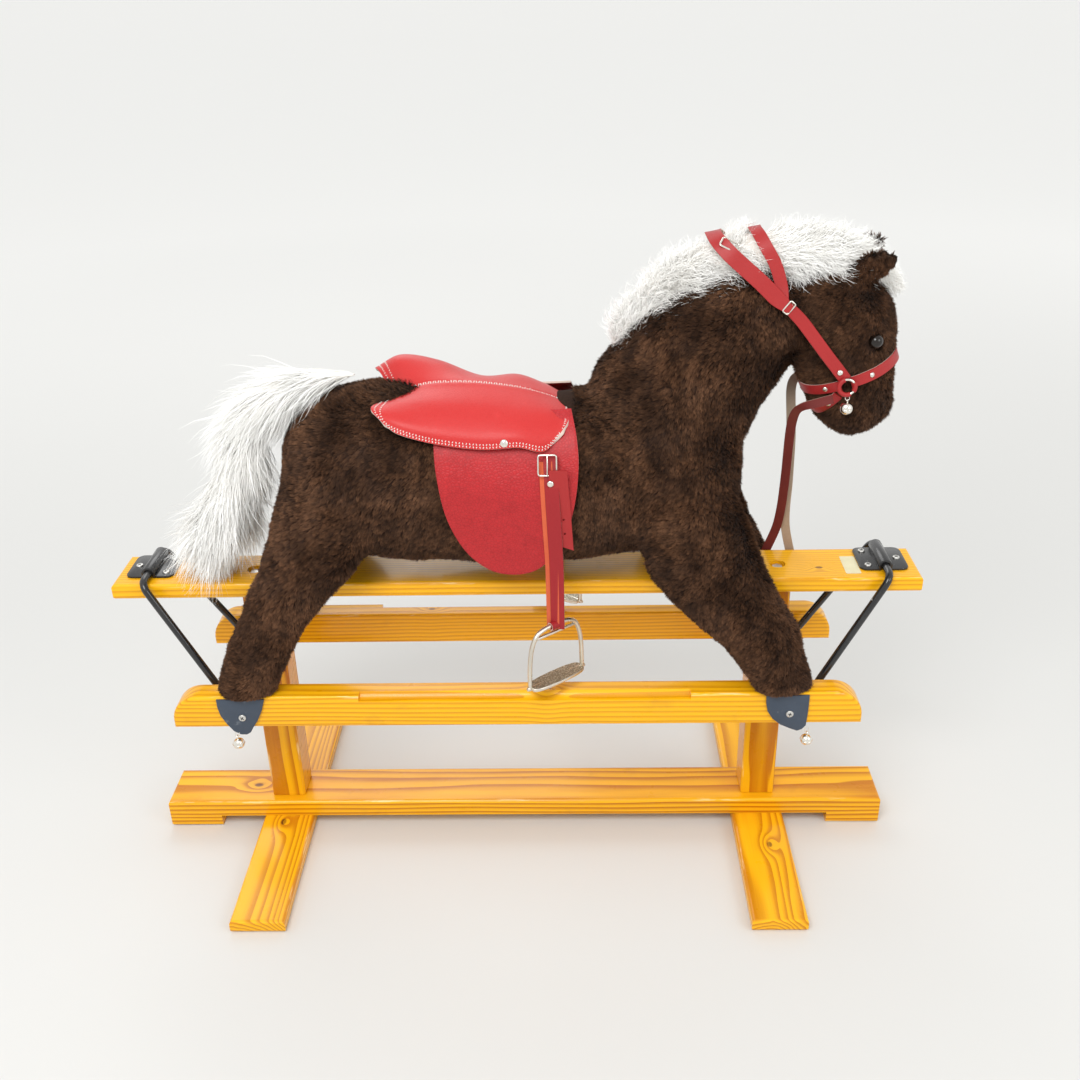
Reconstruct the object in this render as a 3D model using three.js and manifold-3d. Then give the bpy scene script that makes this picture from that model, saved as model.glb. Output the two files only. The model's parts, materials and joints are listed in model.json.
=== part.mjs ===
// Plush rocking horse on a pine swing stand.
// Millimetres. +X towards the nose, +Y to the horse's left, +Z up; origin on the floor, midway
// between the two cross feet.
import * as THREE from 'three';
import { mergeVertices } from 'three/addons/utils/BufferGeometryUtils.js';
import Module from 'manifold-3d';

// ---------------------------------------------------------------- driving dimensions
// Stand
const beamLength = 1070;
const beamWidth = 85;
const beamThick = 21;
const beamHeight = 412; // top face above the floor
const railLength = 1042;
const railWidth = 77;
const railThick = 26;
const railPadLength = 76;
const footLength = 500;
const footWidth = 74;
const footThick = 18;
const postSide = 48;
const postSpacing = 688;
const boardRound = 4;
const postRound = 2.5;
const boltOffset = 8; // bolt centre outboard of the post's centre
const boltShaft = 8;
const boltHead = 15;
const boltHeadThick = 4;
const boltDepth = 62;
const washerThick = 1.5;
const boltClear = 0.35; // washer off the counterbore's floor
const counterboreDiameter = 21;
const counterboreDepth = 9;

// Swing irons and their brackets
const rodDiameter = 10;
const pivotInset = 45; // top pivot in from the beam's end
const swingDrop = 156.5; // top pivot down to the runner pivot
const ironReach = 52; // half the width of the iron where it clears the beam
const ironBend = 15;
const bracketLength = 64;
const bracketWidth = 62;
const bracketCorner = 10;
const bracketShift = 8; // plates sit a little to the left of the beam's centre line
const plateThick = 2.5;
const archWall = 3.6;
const rodLift = 1.5; // rod above the beam's face

// Runners
const runnerLength = 909;
const runnerHeight = 48;
const runnerThick = 33;
const runnerSpan = 241; // outer face to outer face
const runnerRound = 3.5;
const runnerEndRadius = 37;
const pinInset = 54.5; // runner pivot in from the runner's end
const pinDepth = 21;
const frontSlot = 7.6; // extra length of the front pocket, the open pivot of the linkage
const frontPocketGap = 1.1; // round the rod in the front pocket, which rises and falls a little
const gripRadius = 13;
const gripStart = -205;
const gripEnd = 230;

// How the plush body sits over the stand
const bellyClearance = 21; // belly over the beam
const bellyHeight = 147; // belly above the level that the body is drawn from

// Soft parts, saddlery and small metal
const eyeDiameter = 18;
const bellDiameter = 16;
const strapWidth = 14;
const strapThick = 2.8;
const leatherWidth = 18;
const leatherThick = 5;
const leatherLength = 232;
const stirrupHeight = 86;
const stirrupWidth = 91;
const stirrupTopWidth = 34;
const stirrupSlot = 10.5; // top bar down to the web under the slot
const stirrupRod = 6;
const treadDepth = 27;
const stirrupTurn = THREE.MathUtils.degToRad(39);
const reinDiameter = 5;
const frameBoard = 18; // thickness of the boards inside the plush

// Clearances
const gap = 0.35; // between touching pieces
const runningGap = 0.4; // round a rod in its bore

// ---------------------------------------------------------------- derived places
const beamUnderside = beamHeight - beamThick;
const railTop = footThick + gap + railThick;
const topPivotX = beamLength / 2 - pivotInset;
const topPivotZ = beamHeight + rodLift + rodDiameter / 2;
const runnerPivotX = runnerLength / 2 - pinInset;
const runnerPivotZ = topPivotZ - swingDrop;
const runnerBottom = runnerPivotZ - runnerHeight / 2;
const runnerTop = runnerBottom + runnerHeight;
const runnerInner = runnerSpan / 2 - runnerThick;
const runnerMiddle = runnerSpan / 2 - runnerThick / 2;
const bodyBase = beamHeight + bellyClearance - bellyHeight;
const runnerLevel = runnerTop - bodyBase; // the runners' top face, seen from the body
const hoofX = 356;

// ---------------------------------------------------------------- materials
const finish = (color, roughness, metalness = 0) =>
  new THREE.MeshStandardMaterial({ color, roughness, metalness });
const pine = finish(0xd9902c, 0.35);
const innerPine = finish(0xcfa46c, 0.7);
const plush = finish(0x3a2217, 1);
const whitePile = finish(0xf1ece2, 1);
const redLeather = finish(0xb3272b, 0.45);
const crimsonLeather = finish(0x8f1d2c, 0.5);
const blackSteel = finish(0x17181a, 0.35, 0.6);
const nickel = finish(0xc9c9c4, 0.25, 1);
const greyVinyl = finish(0x3c4653, 0.6);
const eyeGlass = finish(0x0c0a09, 0.08);

// ---------------------------------------------------------------- solid helpers
const wasm = await Module();
wasm.setup();

// Turns a closed geometry into a solid for joining and cutting.
function solid(geometry) {
  const bare = geometry.clone();
  bare.deleteAttribute('normal');
  bare.deleteAttribute('uv');
  const merged = mergeVertices(bare, 1e-4);
  return new wasm.Manifold(new wasm.Mesh({
    numProp: 3,
    vertProperties: new Float32Array(merged.attributes.position.array),
    triVerts: new Uint32Array(merged.index.array),
  }));
}

// Turns a solid back into a geometry.
function shape(body) {
  const mesh = body.getMesh();
  const geometry = new THREE.BufferGeometry();
  geometry.setAttribute('position', new THREE.BufferAttribute(mesh.vertProperties, 3));
  geometry.setIndex(new THREE.BufferAttribute(mesh.triVerts, 1));
  geometry.computeVertexNormals();
  return geometry;
}

function named(name, geometry, material, parent) {
  const mesh = new THREE.Mesh(geometry, material);
  mesh.name = name;
  parent.add(mesh);
  return mesh;
}

function boxBetween(low, high) {
  const size = high.map((value, axis) => value - low[axis]);
  const middle = high.map((value, axis) => (value + low[axis]) / 2);
  return new THREE.BoxGeometry(...size).translate(...middle);
}

function rod(diameter, length, sides = 20) {
  return new THREE.CylinderGeometry(diameter / 2, diameter / 2, length, sides);
}

// A board lying flat, its long edges and ends rounded over.
function board(length, width, thick, round) {
  const outline = new THREE.Shape();
  const x = length / 2 - round;
  const y = width / 2 - round;
  outline.moveTo(-x, -y);
  outline.lineTo(x, -y);
  outline.lineTo(x, y);
  outline.lineTo(-x, y);
  return new THREE.ExtrudeGeometry(outline, {
    depth: thick - 2 * round,
    bevelThickness: round,
    bevelSize: round,
    bevelSegments: 3,
  }).translate(0, 0, -thick / 2 + round);
}

// Extrudes a side outline, drawn in X and Z, across Y from yLow to yHigh.
function sideExtrude(outline, yLow, yHigh, options = {}) {
  return new THREE.ExtrudeGeometry(outline, {
    depth: yHigh - yLow, bevelEnabled: false, curveSegments: 8, ...options,
  }).rotateX(Math.PI / 2).translate(0, yHigh, 0);
}

// A closed skin over rings that all have the same number of points, capped at both ends.
function loft(rings) {
  const sides = rings[0].length;
  const points = rings.flat();
  const faces = [];
  for (let ring = 0; ring < rings.length - 1; ring += 1) {
    for (let side = 0; side < sides; side += 1) {
      const a = ring * sides + side;
      const b = ring * sides + (side + 1) % sides;
      faces.push(a, b, a + sides, b, b + sides, a + sides);
    }
  }
  for (const [first, flip] of [[0, true], [(rings.length - 1) * sides, false]]) {
    const centre = new THREE.Vector3();
    for (let side = 0; side < sides; side += 1) centre.add(points[first + side]);
    points.push(centre.divideScalar(sides));
    for (let side = 0; side < sides; side += 1) {
      const next = first + (side + 1) % sides;
      faces.push(points.length - 1, ...(flip ? [next, first + side] : [first + side, next]));
    }
  }
  const geometry = new THREE.BufferGeometry().setFromPoints(points);
  geometry.setIndex(faces);
  return geometry;
}

// One oval ring. travel is the way the loft runs, in the X-Z plane; rise and fall are the reach
// each side of the middle in that plane, half the reach along Y; grow swells all three.
function ovalRing({ at, travel, rise, fall = rise, half }, grow, sides) {
  const up = new THREE.Vector3(-Math.sin(travel), 0, Math.cos(travel));
  const ring = [];
  for (let side = 0; side < sides; side += 1) {
    const turn = (side / sides) * 2 * Math.PI;
    const reach = (Math.sin(turn) > 0 ? rise : fall) + grow;
    const point = new THREE.Vector3(...at).addScaledVector(up, reach * Math.sin(turn));
    point.y += (half + grow) * Math.cos(turn);
    ring.push(point);
  }
  return ring;
}

// A plush limb over oval sections; grow swells it all over, ends included.
function limb(sections, grow = 0, sides = 18) {
  const rings = sections.map((section) => ovalRing(section, grow, sides));
  if (grow > 0) {
    const ends = [[0, 1], [sections.length - 1, sections.length - 2]];
    for (const [end, inner] of ends) {
      const away = new THREE.Vector3(...sections[end].at);
      away.sub(new THREE.Vector3(...sections[inner].at)).setLength(grow);
      rings[end].forEach((point) => point.add(away));
    }
  }
  return solid(loft(rings));
}

// ---------------------------------------------------------------- stand
function buildStand() {
  const stand = new THREE.Group();
  const railBody = solid(board(railLength, railWidth, railThick + footThick, boardRound));
  const relief = boxBetween(
    [-railLength / 2 + railPadLength, -railWidth, -railThick],
    [railLength / 2 - railPadLength, railWidth, (footThick - railThick) / 2 + gap],
  );
  const rail = named('base_rail', shape(railBody.subtract(solid(relief))), pine, stand);
  rail.position.z = (railThick + footThick) / 2;

  const holes = [];
  for (const [end, name] of [[-1, 'rear'], [1, 'front']]) {
    const postX = end * postSpacing / 2;
    const foot = named(`${name}_foot`, board(footLength, footWidth, footThick, boardRound), pine, stand);
    foot.rotation.z = Math.PI / 2;
    foot.position.set(postX, 0, footThick / 2);

    const boltX = postX + end * boltOffset;
    const shaftHole = rod(boltShaft + 2 * runningGap, 2 * boltDepth)
      .rotateX(Math.PI / 2).translate(boltX, 0, beamHeight);
    const counterbore = rod(counterboreDiameter, 2 * counterboreDepth, 32)
      .rotateX(Math.PI / 2).translate(boltX, 0, beamHeight);
    holes.push(solid(shaftHole).add(solid(counterbore)));

    const postHeight = beamUnderside - railTop - 2 * gap;
    const postBody = board(postHeight, postSide, postSide, postRound)
      .rotateY(Math.PI / 2).translate(postX, 0, railTop + gap + postHeight / 2);
    named(`${name}_post`, shape(solid(postBody).subtract(solid(shaftHole))), pine, stand);

    const seat = beamHeight - counterboreDepth + boltClear;
    const head = rod(boltHead, boltHeadThick, 6)
      .rotateX(Math.PI / 2).translate(boltX, 0, seat + washerThick + boltHeadThick / 2 - 0.1);
    const washer = rod(counterboreDiameter - 2, washerThick, 32)
      .rotateX(Math.PI / 2).translate(boltX, 0, seat + washerThick / 2);
    const shaftLength = boltDepth - counterboreDepth - 2;
    const shaft = rod(boltShaft, shaftLength)
      .rotateX(Math.PI / 2).translate(boltX, 0, seat + washerThick / 2 - shaftLength / 2);
    const bolt = solid(head).add(solid(washer)).add(solid(shaft));
    named(`${name}_post_bolt`, shape(bolt), nickel, stand);

    named(`${name}_bracket`, bracket(), blackSteel, stand)
      .position.set(end * topPivotX, bracketShift, beamHeight + gap);
  }
  let beamBody = solid(board(beamLength, beamWidth, beamThick, boardRound)
    .translate(0, 0, beamHeight - beamThick / 2));
  for (const hole of holes) beamBody = beamBody.subtract(hole);
  named('top_beam', shape(beamBody), pine, stand);
  return stand;
}

// Pressed steel bracket: two flanges and a half-round arch over the rod, open underneath.
function bracket() {
  const lift = topPivotZ - beamHeight - gap;
  const inner = rodDiameter / 2 + runningGap;
  const outer = inner + archWall;
  const meet = Math.asin((lift - plateThick) / outer);
  const outline = new THREE.Shape();
  outline.moveTo(-bracketLength / 2, 0);
  outline.lineTo(-inner, 0);
  outline.lineTo(-inner, lift);
  outline.absarc(0, lift, inner, Math.PI, 0, true);
  outline.lineTo(inner, 0);
  outline.lineTo(bracketLength / 2, 0);
  outline.lineTo(bracketLength / 2, plateThick);
  outline.absarc(0, lift, outer, -meet, Math.PI + meet, false);
  outline.lineTo(-bracketLength / 2, plateThick);
  const pressed = solid(sideExtrude(outline, -bracketWidth / 2, bracketWidth / 2));

  const x = bracketLength / 2;
  const y = bracketWidth / 2;
  const r = bracketCorner;
  const plan = new THREE.Shape();
  plan.absarc(x - r, y - r, r, 0, Math.PI / 2, false);
  plan.absarc(r - x, y - r, r, Math.PI / 2, Math.PI, false);
  plan.absarc(r - x, r - y, r, Math.PI, 1.5 * Math.PI, false);
  plan.absarc(x - r, r - y, r, 1.5 * Math.PI, 2 * Math.PI, false);
  const blank = new THREE.ExtrudeGeometry(plan, {
    depth: 40, bevelEnabled: false, curveSegments: 6,
  }).translate(0, 0, -5);
  return shape(pressed.intersect(solid(blank)));
}

// ---------------------------------------------------------------- swing irons
// A path of straight runs joined by bends, each bend cut in by the given distance.
function bentPath(corners, cut) {
  const path = new THREE.CurvePath();
  let from = corners[0];
  for (let index = 1; index < corners.length - 1; index += 1) {
    const corner = corners[index];
    const start = corner.clone().add(corners[index - 1].clone().sub(corner).setLength(cut));
    const end = corner.clone().add(corners[index + 1].clone().sub(corner).setLength(cut));
    path.add(new THREE.LineCurve3(from, start));
    path.add(new THREE.QuadraticBezierCurve3(start, corner, end));
    from = end;
  }
  path.add(new THREE.LineCurve3(from, corners[corners.length - 1]));
  return path;
}

function roundSection(diameter, sides) {
  const section = new THREE.Shape();
  for (let side = 0; side < sides; side += 1) {
    const turn = (side / sides) * 2 * Math.PI;
    const x = Math.cos(turn) * diameter / 2;
    const y = Math.sin(turn) * diameter / 2;
    if (side === 0) section.moveTo(x, y);
    else section.lineTo(x, y);
  }
  return section;
}

function sweep(path, diameter, sides, steps) {
  return new THREE.ExtrudeGeometry(roundSection(diameter, sides), {
    steps, extrudePath: path, bevelEnabled: false,
  });
}

function buildIron(name, end) {
  const iron = new THREE.Group();
  const half = [
    new THREE.Vector3(end * runnerPivotX, runnerInner + pinDepth, runnerPivotZ),
    new THREE.Vector3(end * runnerPivotX, runnerInner - ironBend - 1, runnerPivotZ),
    new THREE.Vector3(end * topPivotX, ironReach, topPivotZ),
  ];
  const mirrored = half.map((point) => new THREE.Vector3(point.x, -point.y, point.z)).reverse();
  const path = bentPath([...half, ...mirrored], ironBend);
  named(`${name}_swing_iron`, sweep(path, rodDiameter, 10, 60), blackSteel, iron);
  return iron;
}

// ---------------------------------------------------------------- runners
function runnerBody(side) {
  const x = runnerLength / 2 - runnerRound;
  const r = runnerEndRadius - runnerRound;
  const low = runnerBottom + runnerRound;
  const high = runnerTop - runnerRound;
  const outline = new THREE.Shape();
  outline.moveTo(-x, low);
  outline.lineTo(x, low);
  outline.absarc(x - r, high - r, r, 0, Math.PI / 2, false);
  outline.absarc(r - x, high - r, r, Math.PI / 2, Math.PI, false);
  const bar = new THREE.ExtrudeGeometry(outline, {
    depth: runnerThick - 2 * runnerRound,
    bevelThickness: runnerRound,
    bevelSize: runnerRound,
    bevelSegments: 2,
    curveSegments: 6,
  }).rotateX(Math.PI / 2).translate(0, runnerMiddle + runnerThick / 2 - runnerRound, 0);

  const outer = runnerSpan / 2;
  const corner = new THREE.Shape();
  corner.moveTo(outer - gripRadius, runnerTop);
  corner.absarc(outer - gripRadius, runnerTop - gripRadius, gripRadius, Math.PI / 2, 0, true);
  corner.lineTo(outer + 1, runnerTop - gripRadius);
  corner.lineTo(outer + 1, runnerTop + 1);
  corner.lineTo(outer - gripRadius, runnerTop + 1);
  const grip = new THREE.ExtrudeGeometry(corner, {
    depth: gripEnd - gripStart, bevelEnabled: false, curveSegments: 6,
  }).applyMatrix4(new THREE.Matrix4().set(
    0, 0, 1, gripStart,
    1, 0, 0, 0,
    0, 1, 0, 0,
    0, 0, 0, 1,
  ));

  const reach = pinDepth + 2;
  const pocket = (x, stretch, clear) => {
    const slot = new THREE.Shape();
    const radius = rodDiameter / 2 + clear;
    slot.absarc(x, runnerPivotZ, radius, Math.PI / 2, 1.5 * Math.PI, false);
    slot.absarc(x + stretch, runnerPivotZ, radius, -Math.PI / 2, Math.PI / 2, false);
    return solid(sideExtrude(slot, runnerInner - 5, runnerInner + reach, { curveSegments: 10 }));
  };
  const body = solid(bar).subtract(solid(grip))
    .subtract(pocket(-runnerPivotX, 0.01, runningGap))
    .subtract(pocket(runnerPivotX, frontSlot, frontPocketGap));
  return shape(side > 0 ? body : body.mirror([0, 1, 0]));
}

// ---------------------------------------------------------------- plush body
// All heights from here on are above bodyBase, level with the runners' top face.
const down = -Math.PI / 2;

const torsoSections = [
  { x: -296, top: 303, bottom: 233, half: 34 },
  { x: -281, top: 338, bottom: 193, half: 70 },
  { x: -245, top: 375, bottom: 168, half: 97 },
  { x: -190, top: 394, bottom: 158, half: 106 },
  { x: -120, top: 392, bottom: 151, half: 104 },
  { x: -40, top: 378, bottom: bellyHeight, half: 99 },
  { x: 40, top: 374, bottom: bellyHeight, half: 97 },
  { x: 110, top: 380, bottom: 151, half: 97 },
  { x: 180, top: 381, bottom: 159, half: 95 },
  { x: 235, top: 368, bottom: 173, half: 87 },
  { x: 274, top: 345, bottom: 198, half: 69 },
  { x: 294, top: 313, bottom: 233, half: 36 },
].map(({ x, top, bottom, half }) => ({
  at: [x, 0, (top + bottom) / 2], travel: 0, rise: (top - bottom) / 2, half,
}));

const neckSections = [
  { at: [178, 0, 300], travel: 1.05, rise: 112, half: 84 },
  { at: [208, 0, 371], travel: 1.0, rise: 106, half: 72 },
  { at: [238, 0, 414], travel: 0.95, rise: 99, half: 62 },
  { at: [272, 0, 450], travel: 0.85, rise: 88, half: 56 },
  { at: [310, 0, 476], travel: 0.65, rise: 70, half: 52 },
  { at: [350, 0, 492], travel: 0.4, rise: 45, half: 44 },
];

// The head hangs from the poll: sections run down a line from the crown to the muzzle.
const headLean = THREE.MathUtils.degToRad(-74);
const headSections = [
  { along: -66, rise: 22, half: 18 },
  { along: -56, rise: 44, half: 36 },
  { along: -34, rise: 62, half: 50 },
  { along: 0, rise: 70, half: 57 },
  { along: 36, rise: 66, half: 54 },
  { along: 70, rise: 59, half: 49 },
  { along: 102, rise: 54, half: 47 },
  { along: 132, rise: 47, half: 42 },
  { along: 150, rise: 27, half: 25 },
].map(({ along, rise, half }) => ({
  at: [400 + along * Math.cos(headLean), 0, 465 + along * Math.sin(headLean)],
  travel: headLean,
  rise,
  half,
}));

// Legs spread outwards from the hips to stand over the runners; spread is the share of the way.
const hipSide = 50;
function legSections(rows, side) {
  return rows.map(({ x, z, deep, half, spread }) => ({
    at: [x, side * (hipSide + (runnerMiddle - hipSide) * spread), z + runnerLevel * spread],
    travel: down,
    rise: deep,
    half,
  }));
}
const rearLegRows = [
  { x: -222, z: 290, deep: 70, half: 44, spread: 0.05 },
  { x: -233, z: 214, deep: 74, half: 47, spread: 0.28 },
  { x: -262, z: 163, deep: 66, half: 41, spread: 0.6 },
  { x: -304, z: 115, deep: 47, half: 39, spread: 0.84 },
  { x: -334, z: 54, deep: 43, half: 36, spread: 0.96 },
  { x: -350, z: -6, deep: 42, half: 33, spread: 1 },
];
const frontLegRows = [
  { x: 222, z: 270, deep: 66, half: 38, spread: 0.12 },
  { x: 232, z: 200, deep: 74, half: 41, spread: 0.36 },
  { x: 252, z: 150, deep: 78, half: 39, spread: 0.68 },
  { x: 298, z: 98, deep: 60, half: 38, spread: 0.9 },
  { x: 338, z: 38, deep: 46, half: 36, spread: 0.97 },
  { x: 353, z: -6, deep: 42, half: 33, spread: 1 },
];
const legs = [
  { name: 'rear_right', rows: rearLegRows, side: -1, end: -1 },
  { name: 'rear_left', rows: rearLegRows, side: 1, end: -1 },
  { name: 'front_right', rows: frontLegRows, side: -1, end: 1 },
  { name: 'front_left', rows: frontLegRows, side: 1, end: 1 },
];

// The body swollen by the given amount, for the shells that lie on it.
function bodySolid(grow) {
  return limb(torsoSections, grow, 24)
    .add(limb(neckSections, grow))
    .add(limb(headSections, grow));
}

// A thin shell round the body between two distances from the plush.
function shell(inner, outer) {
  return bodySolid(outer).subtract(bodySolid(inner));
}

// A board from one point to another; deep is its size fore and aft, grow its clearance.
function stick(from, to, deep, grow) {
  const start = new THREE.Vector3(...from);
  const run = new THREE.Vector3(...to).sub(start);
  const length = run.length() + 2 * grow;
  const turn = new THREE.Matrix4().lookAt(new THREE.Vector3(), run, new THREE.Vector3(1, 0, 0));
  return solid(new THREE.BoxGeometry(frameBoard + 2 * grow, deep + 2 * grow, length)
    .applyMatrix4(turn).translate(...start.addScaledVector(run, 0.5).toArray()));
}

const spineLow = 260;
const spineHigh = 322;
function spineBoard(grow) {
  return solid(boxBetween(
    [-236 - grow, -frameBoard / 2 - grow, spineLow - grow],
    [166 + grow, frameBoard / 2 + grow, spineHigh + grow],
  ));
}
const neckBoard = (grow) => stick([200, 0, 300], [296, 0, 468], 44, grow);
function legSlat({ side, end }, grow) {
  const top = [end < 0 ? -215 : 145, side * (frameBoard + 3), 296];
  const foot = [end * hoofX, side * runnerMiddle, runnerLevel - 12];
  return stick(top, foot, 36, grow);
}

const aboveRunner = () => solid(boxBetween([-700, -400, runnerLevel + gap], [700, 400, 900]));

function buildPlush(horse) {
  const slats = legs.map((leg) => legSlat(leg, gap));
  let torso = limb(torsoSections, 0, 24).subtract(spineBoard(gap)).subtract(neckBoard(gap));
  // A screw hole joins the spine board's pocket to the neck board's.
  const screwHole = rod(6, 90, 12).rotateZ(Math.PI / 2).translate(180, 0, 312);
  torso = torso.subtract(solid(screwHole));
  for (const slat of slats) torso = torso.subtract(slat);
  named('torso', shape(torso), plush, horse);

  const torsoBlock = limb(torsoSections, gap, 24);
  const neck = limb(neckSections).subtract(torsoBlock).subtract(neckBoard(gap));
  named('neck', shape(neck), plush, horse);

  const neckBlock = limb(neckSections, gap);
  let head = limb(headSections).subtract(torsoBlock).subtract(neckBlock);
  for (const side of [-1, 1]) {
    head = head.subtract(solid(eyeBall(side, gap)));
    head = head.subtract(limb(earSections(side), gap, 12));
  }
  named('head', shape(head), plush, horse);

  legs.forEach((leg, index) => {
    const whole = limb(legSections(leg.rows, leg.side));
    const cut = whole.subtract(torsoBlock).subtract(neckBlock).subtract(slats[index])
      .intersect(aboveRunner());
    named(`${leg.name}_leg`, shape(cut), plush, horse);
    const slat = legSlat(leg, 0).intersect(aboveRunner());
    named(`${leg.name}_leg_slat`, shape(slat), innerPine, horse);
  });
  named('spine_board', shape(spineBoard(0)), innerPine, horse);
  named('neck_board', shape(neckBoard(0)), innerPine, horse);
}

const eyePlace = { x: 438, y: 43, z: 446 };
function eyeBall(side, grow) {
  return new THREE.SphereGeometry(eyeDiameter / 2 + grow, 12, 8)
    .translate(eyePlace.x, side * eyePlace.y, eyePlace.z);
}

// The ears lie forward over the brow.
function earSections(side) {
  return [
    { at: [402, side * 34, 527], travel: 0.3, rise: 14, half: 8 },
    { at: [418, side * 36, 531], travel: 0.3, rise: 19, half: 9 },
    { at: [436, side * 38, 537], travel: 0.35, rise: 17, half: 8 },
    { at: [452, side * 39, 543], travel: 0.4, rise: 10, half: 6 },
    { at: [461, side * 40, 547], travel: 0.4, rise: 3, half: 3 },
  ];
}

const maneSections = [
  { at: [128, 8, 420], travel: 1.0, rise: 6, half: 10 },
  { at: [150, 10, 449], travel: 0.95, rise: 22, half: 24 },
  { at: [190, 12, 495], travel: 0.75, rise: 30, half: 32 },
  { at: [240, 12, 526], travel: 0.4, rise: 30, half: 36 },
  { at: [300, 10, 541], travel: 0.15, rise: 30, half: 38 },
  { at: [360, 6, 543], travel: 0.0, rise: 32, half: 38 },
  { at: [412, 2, 534], travel: -0.3, rise: 26, half: 30 },
  { at: [448, 0, 516], travel: -0.75, rise: 20, half: 22 },
  { at: [468, 0, 498], travel: -1.0, rise: 8, half: 10 },
];
const tailSections = [
  { at: [-186, 0, 399], travel: Math.PI, rise: 5, half: 9 },
  { at: [-230, 0, 399], travel: Math.PI, rise: 12, half: 16 },
  { at: [-280, 0, 388], travel: Math.PI + 0.3, rise: 20, half: 24 },
  { at: [-326, 0, 356], travel: Math.PI + 0.9, rise: 28, half: 32 },
  { at: [-350, 0, 308], travel: Math.PI + 1.25, rise: 33, half: 38 },
  { at: [-370, 0, 250], travel: Math.PI + 1.25, rise: 36, half: 42 },
  { at: [-388, 0, 200], travel: Math.PI + 1.2, rise: 34, half: 40 },
  { at: [-402, 0, 172], travel: Math.PI + 1.1, rise: 20, half: 24 },
];

function buildHair(horse) {
  const strapRoom = bodySolid(2 * gap + strapThick + 2);
  let mane = limb(maneSections).subtract(strapRoom);
  for (const side of [-1, 1]) {
    mane = mane.subtract(limb(earSections(side), gap, 12));
    named(side < 0 ? 'right_ear' : 'left_ear',
      shape(limb(earSections(side), 0, 12)), plush, horse);
    named(side < 0 ? 'right_eye' : 'left_eye', eyeBall(side, 0), eyeGlass, horse);
  }
  named('mane', shape(mane), whitePile, horse);

  let tail = limb(tailSections).subtract(limb(torsoSections, 2 * gap, 24));
  for (const leg of legs) {
    tail = tail.subtract(limb(legSections(leg.rows, leg.side), gap));
  }
  named('tail', shape(tail), whitePile, horse);
}

// ---------------------------------------------------------------- hooves and bells
// Vinyl shields screwed to the runners' outer faces. Each is drawn about the hoof's middle at the
// runner's top; the rear one points back, the front one forward.
function rearHoof() {
  const outline = new THREE.Shape();
  outline.moveTo(28, -2);
  outline.lineTo(-35, -2);
  outline.quadraticCurveTo(-39, -14, -33, -27);
  outline.lineTo(-20, -52);
  outline.quadraticCurveTo(-2, -64, 6, -51);
  outline.quadraticCurveTo(22, -30, 28, -2);
  return outline;
}
function frontHoof() {
  const outline = new THREE.Shape();
  outline.moveTo(27, -2);
  outline.lineTo(-29, -2);
  outline.quadraticCurveTo(-31, -32, -6, -48);
  outline.quadraticCurveTo(6, -54, 16, -58);
  outline.lineTo(25, -49);
  outline.lineTo(27, -2);
  return outline;
}

// A pressed jingle bell with its sound slot and the wire loop that it hangs by.
function bell() {
  const ball = new THREE.SphereGeometry(bellDiameter / 2, 12, 8);
  const slot = boxBetween([-1, -bellDiameter, -bellDiameter], [1, bellDiameter, -4.5]);
  const loop = new THREE.TorusGeometry(2.6, 0.8, 5, 8)
    .rotateY(Math.PI / 2).translate(0, 0, bellDiameter / 2 + 1.9);
  return shape(solid(ball).subtract(solid(slot)).add(solid(loop)));
}

const hoofThick = 3;
const hoofBellDrop = 70; // bell centre under the runner's top
const rearBellShift = -14.6;
const frontBellShift = 27.4;
function buildHooves(horse) {
  const outer = runnerSpan / 2 + gap;
  for (const { name, side, end } of legs) {
    const low = side < 0 ? -outer - hoofThick : outer;
    const outline = end < 0 ? rearHoof() : frontHoof();
    const hoof = sideExtrude(outline, low, low + hoofThick, { curveSegments: 5 });
    named(`${name}_hoof`, hoof, greyVinyl, horse).position.set(end * hoofX, 0, runnerLevel);
    const bellX = end * hoofX + (end < 0 ? rearBellShift : frontBellShift);
    named(`${name}_hoof_bell`, bell(), nickel, horse)
      .position.set(bellX, side * (outer + hoofThick + 1.5), runnerLevel - hoofBellDrop);
  }
}

// ---------------------------------------------------------------- saddle
const girthOuter = gap + 2;
const flapInner = girthOuter + gap;
const flapOuter = flapInner + 3;
const seatInner = flapOuter + gap;
const seatOuter = seatInner + 15;

function torsoShell(inner, outer) {
  return limb(torsoSections, outer, 24).subtract(limb(torsoSections, inner, 24));
}

function seatPlan() {
  const plan = new THREE.Shape();
  plan.moveTo(-128, 0);
  plan.quadraticCurveTo(-150, 60, -164, 84);
  plan.quadraticCurveTo(-120, 108, -20, 108);
  plan.lineTo(40, 108);
  plan.quadraticCurveTo(66, 100, 66, 60);
  plan.lineTo(66, -60);
  plan.quadraticCurveTo(66, -100, 40, -108);
  plan.lineTo(-20, -108);
  plan.quadraticCurveTo(-120, -108, -164, -84);
  plan.quadraticCurveTo(-150, -60, -128, 0);
  return plan;
}

function flapOutline() {
  const outline = new THREE.Shape();
  outline.moveTo(-88, 350);
  outline.lineTo(-87, 330);
  outline.quadraticCurveTo(-84, 215, -32, 180);
  outline.quadraticCurveTo(0, 160, 38, 178);
  outline.quadraticCurveTo(76, 205, 84, 285);
  outline.quadraticCurveTo(90, 330, 70, 362);
  outline.lineTo(-60, 368);
  return outline;
}

const pivotX = 55;
const pivotUp = 334;
const leatherSide = 109;

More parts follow.
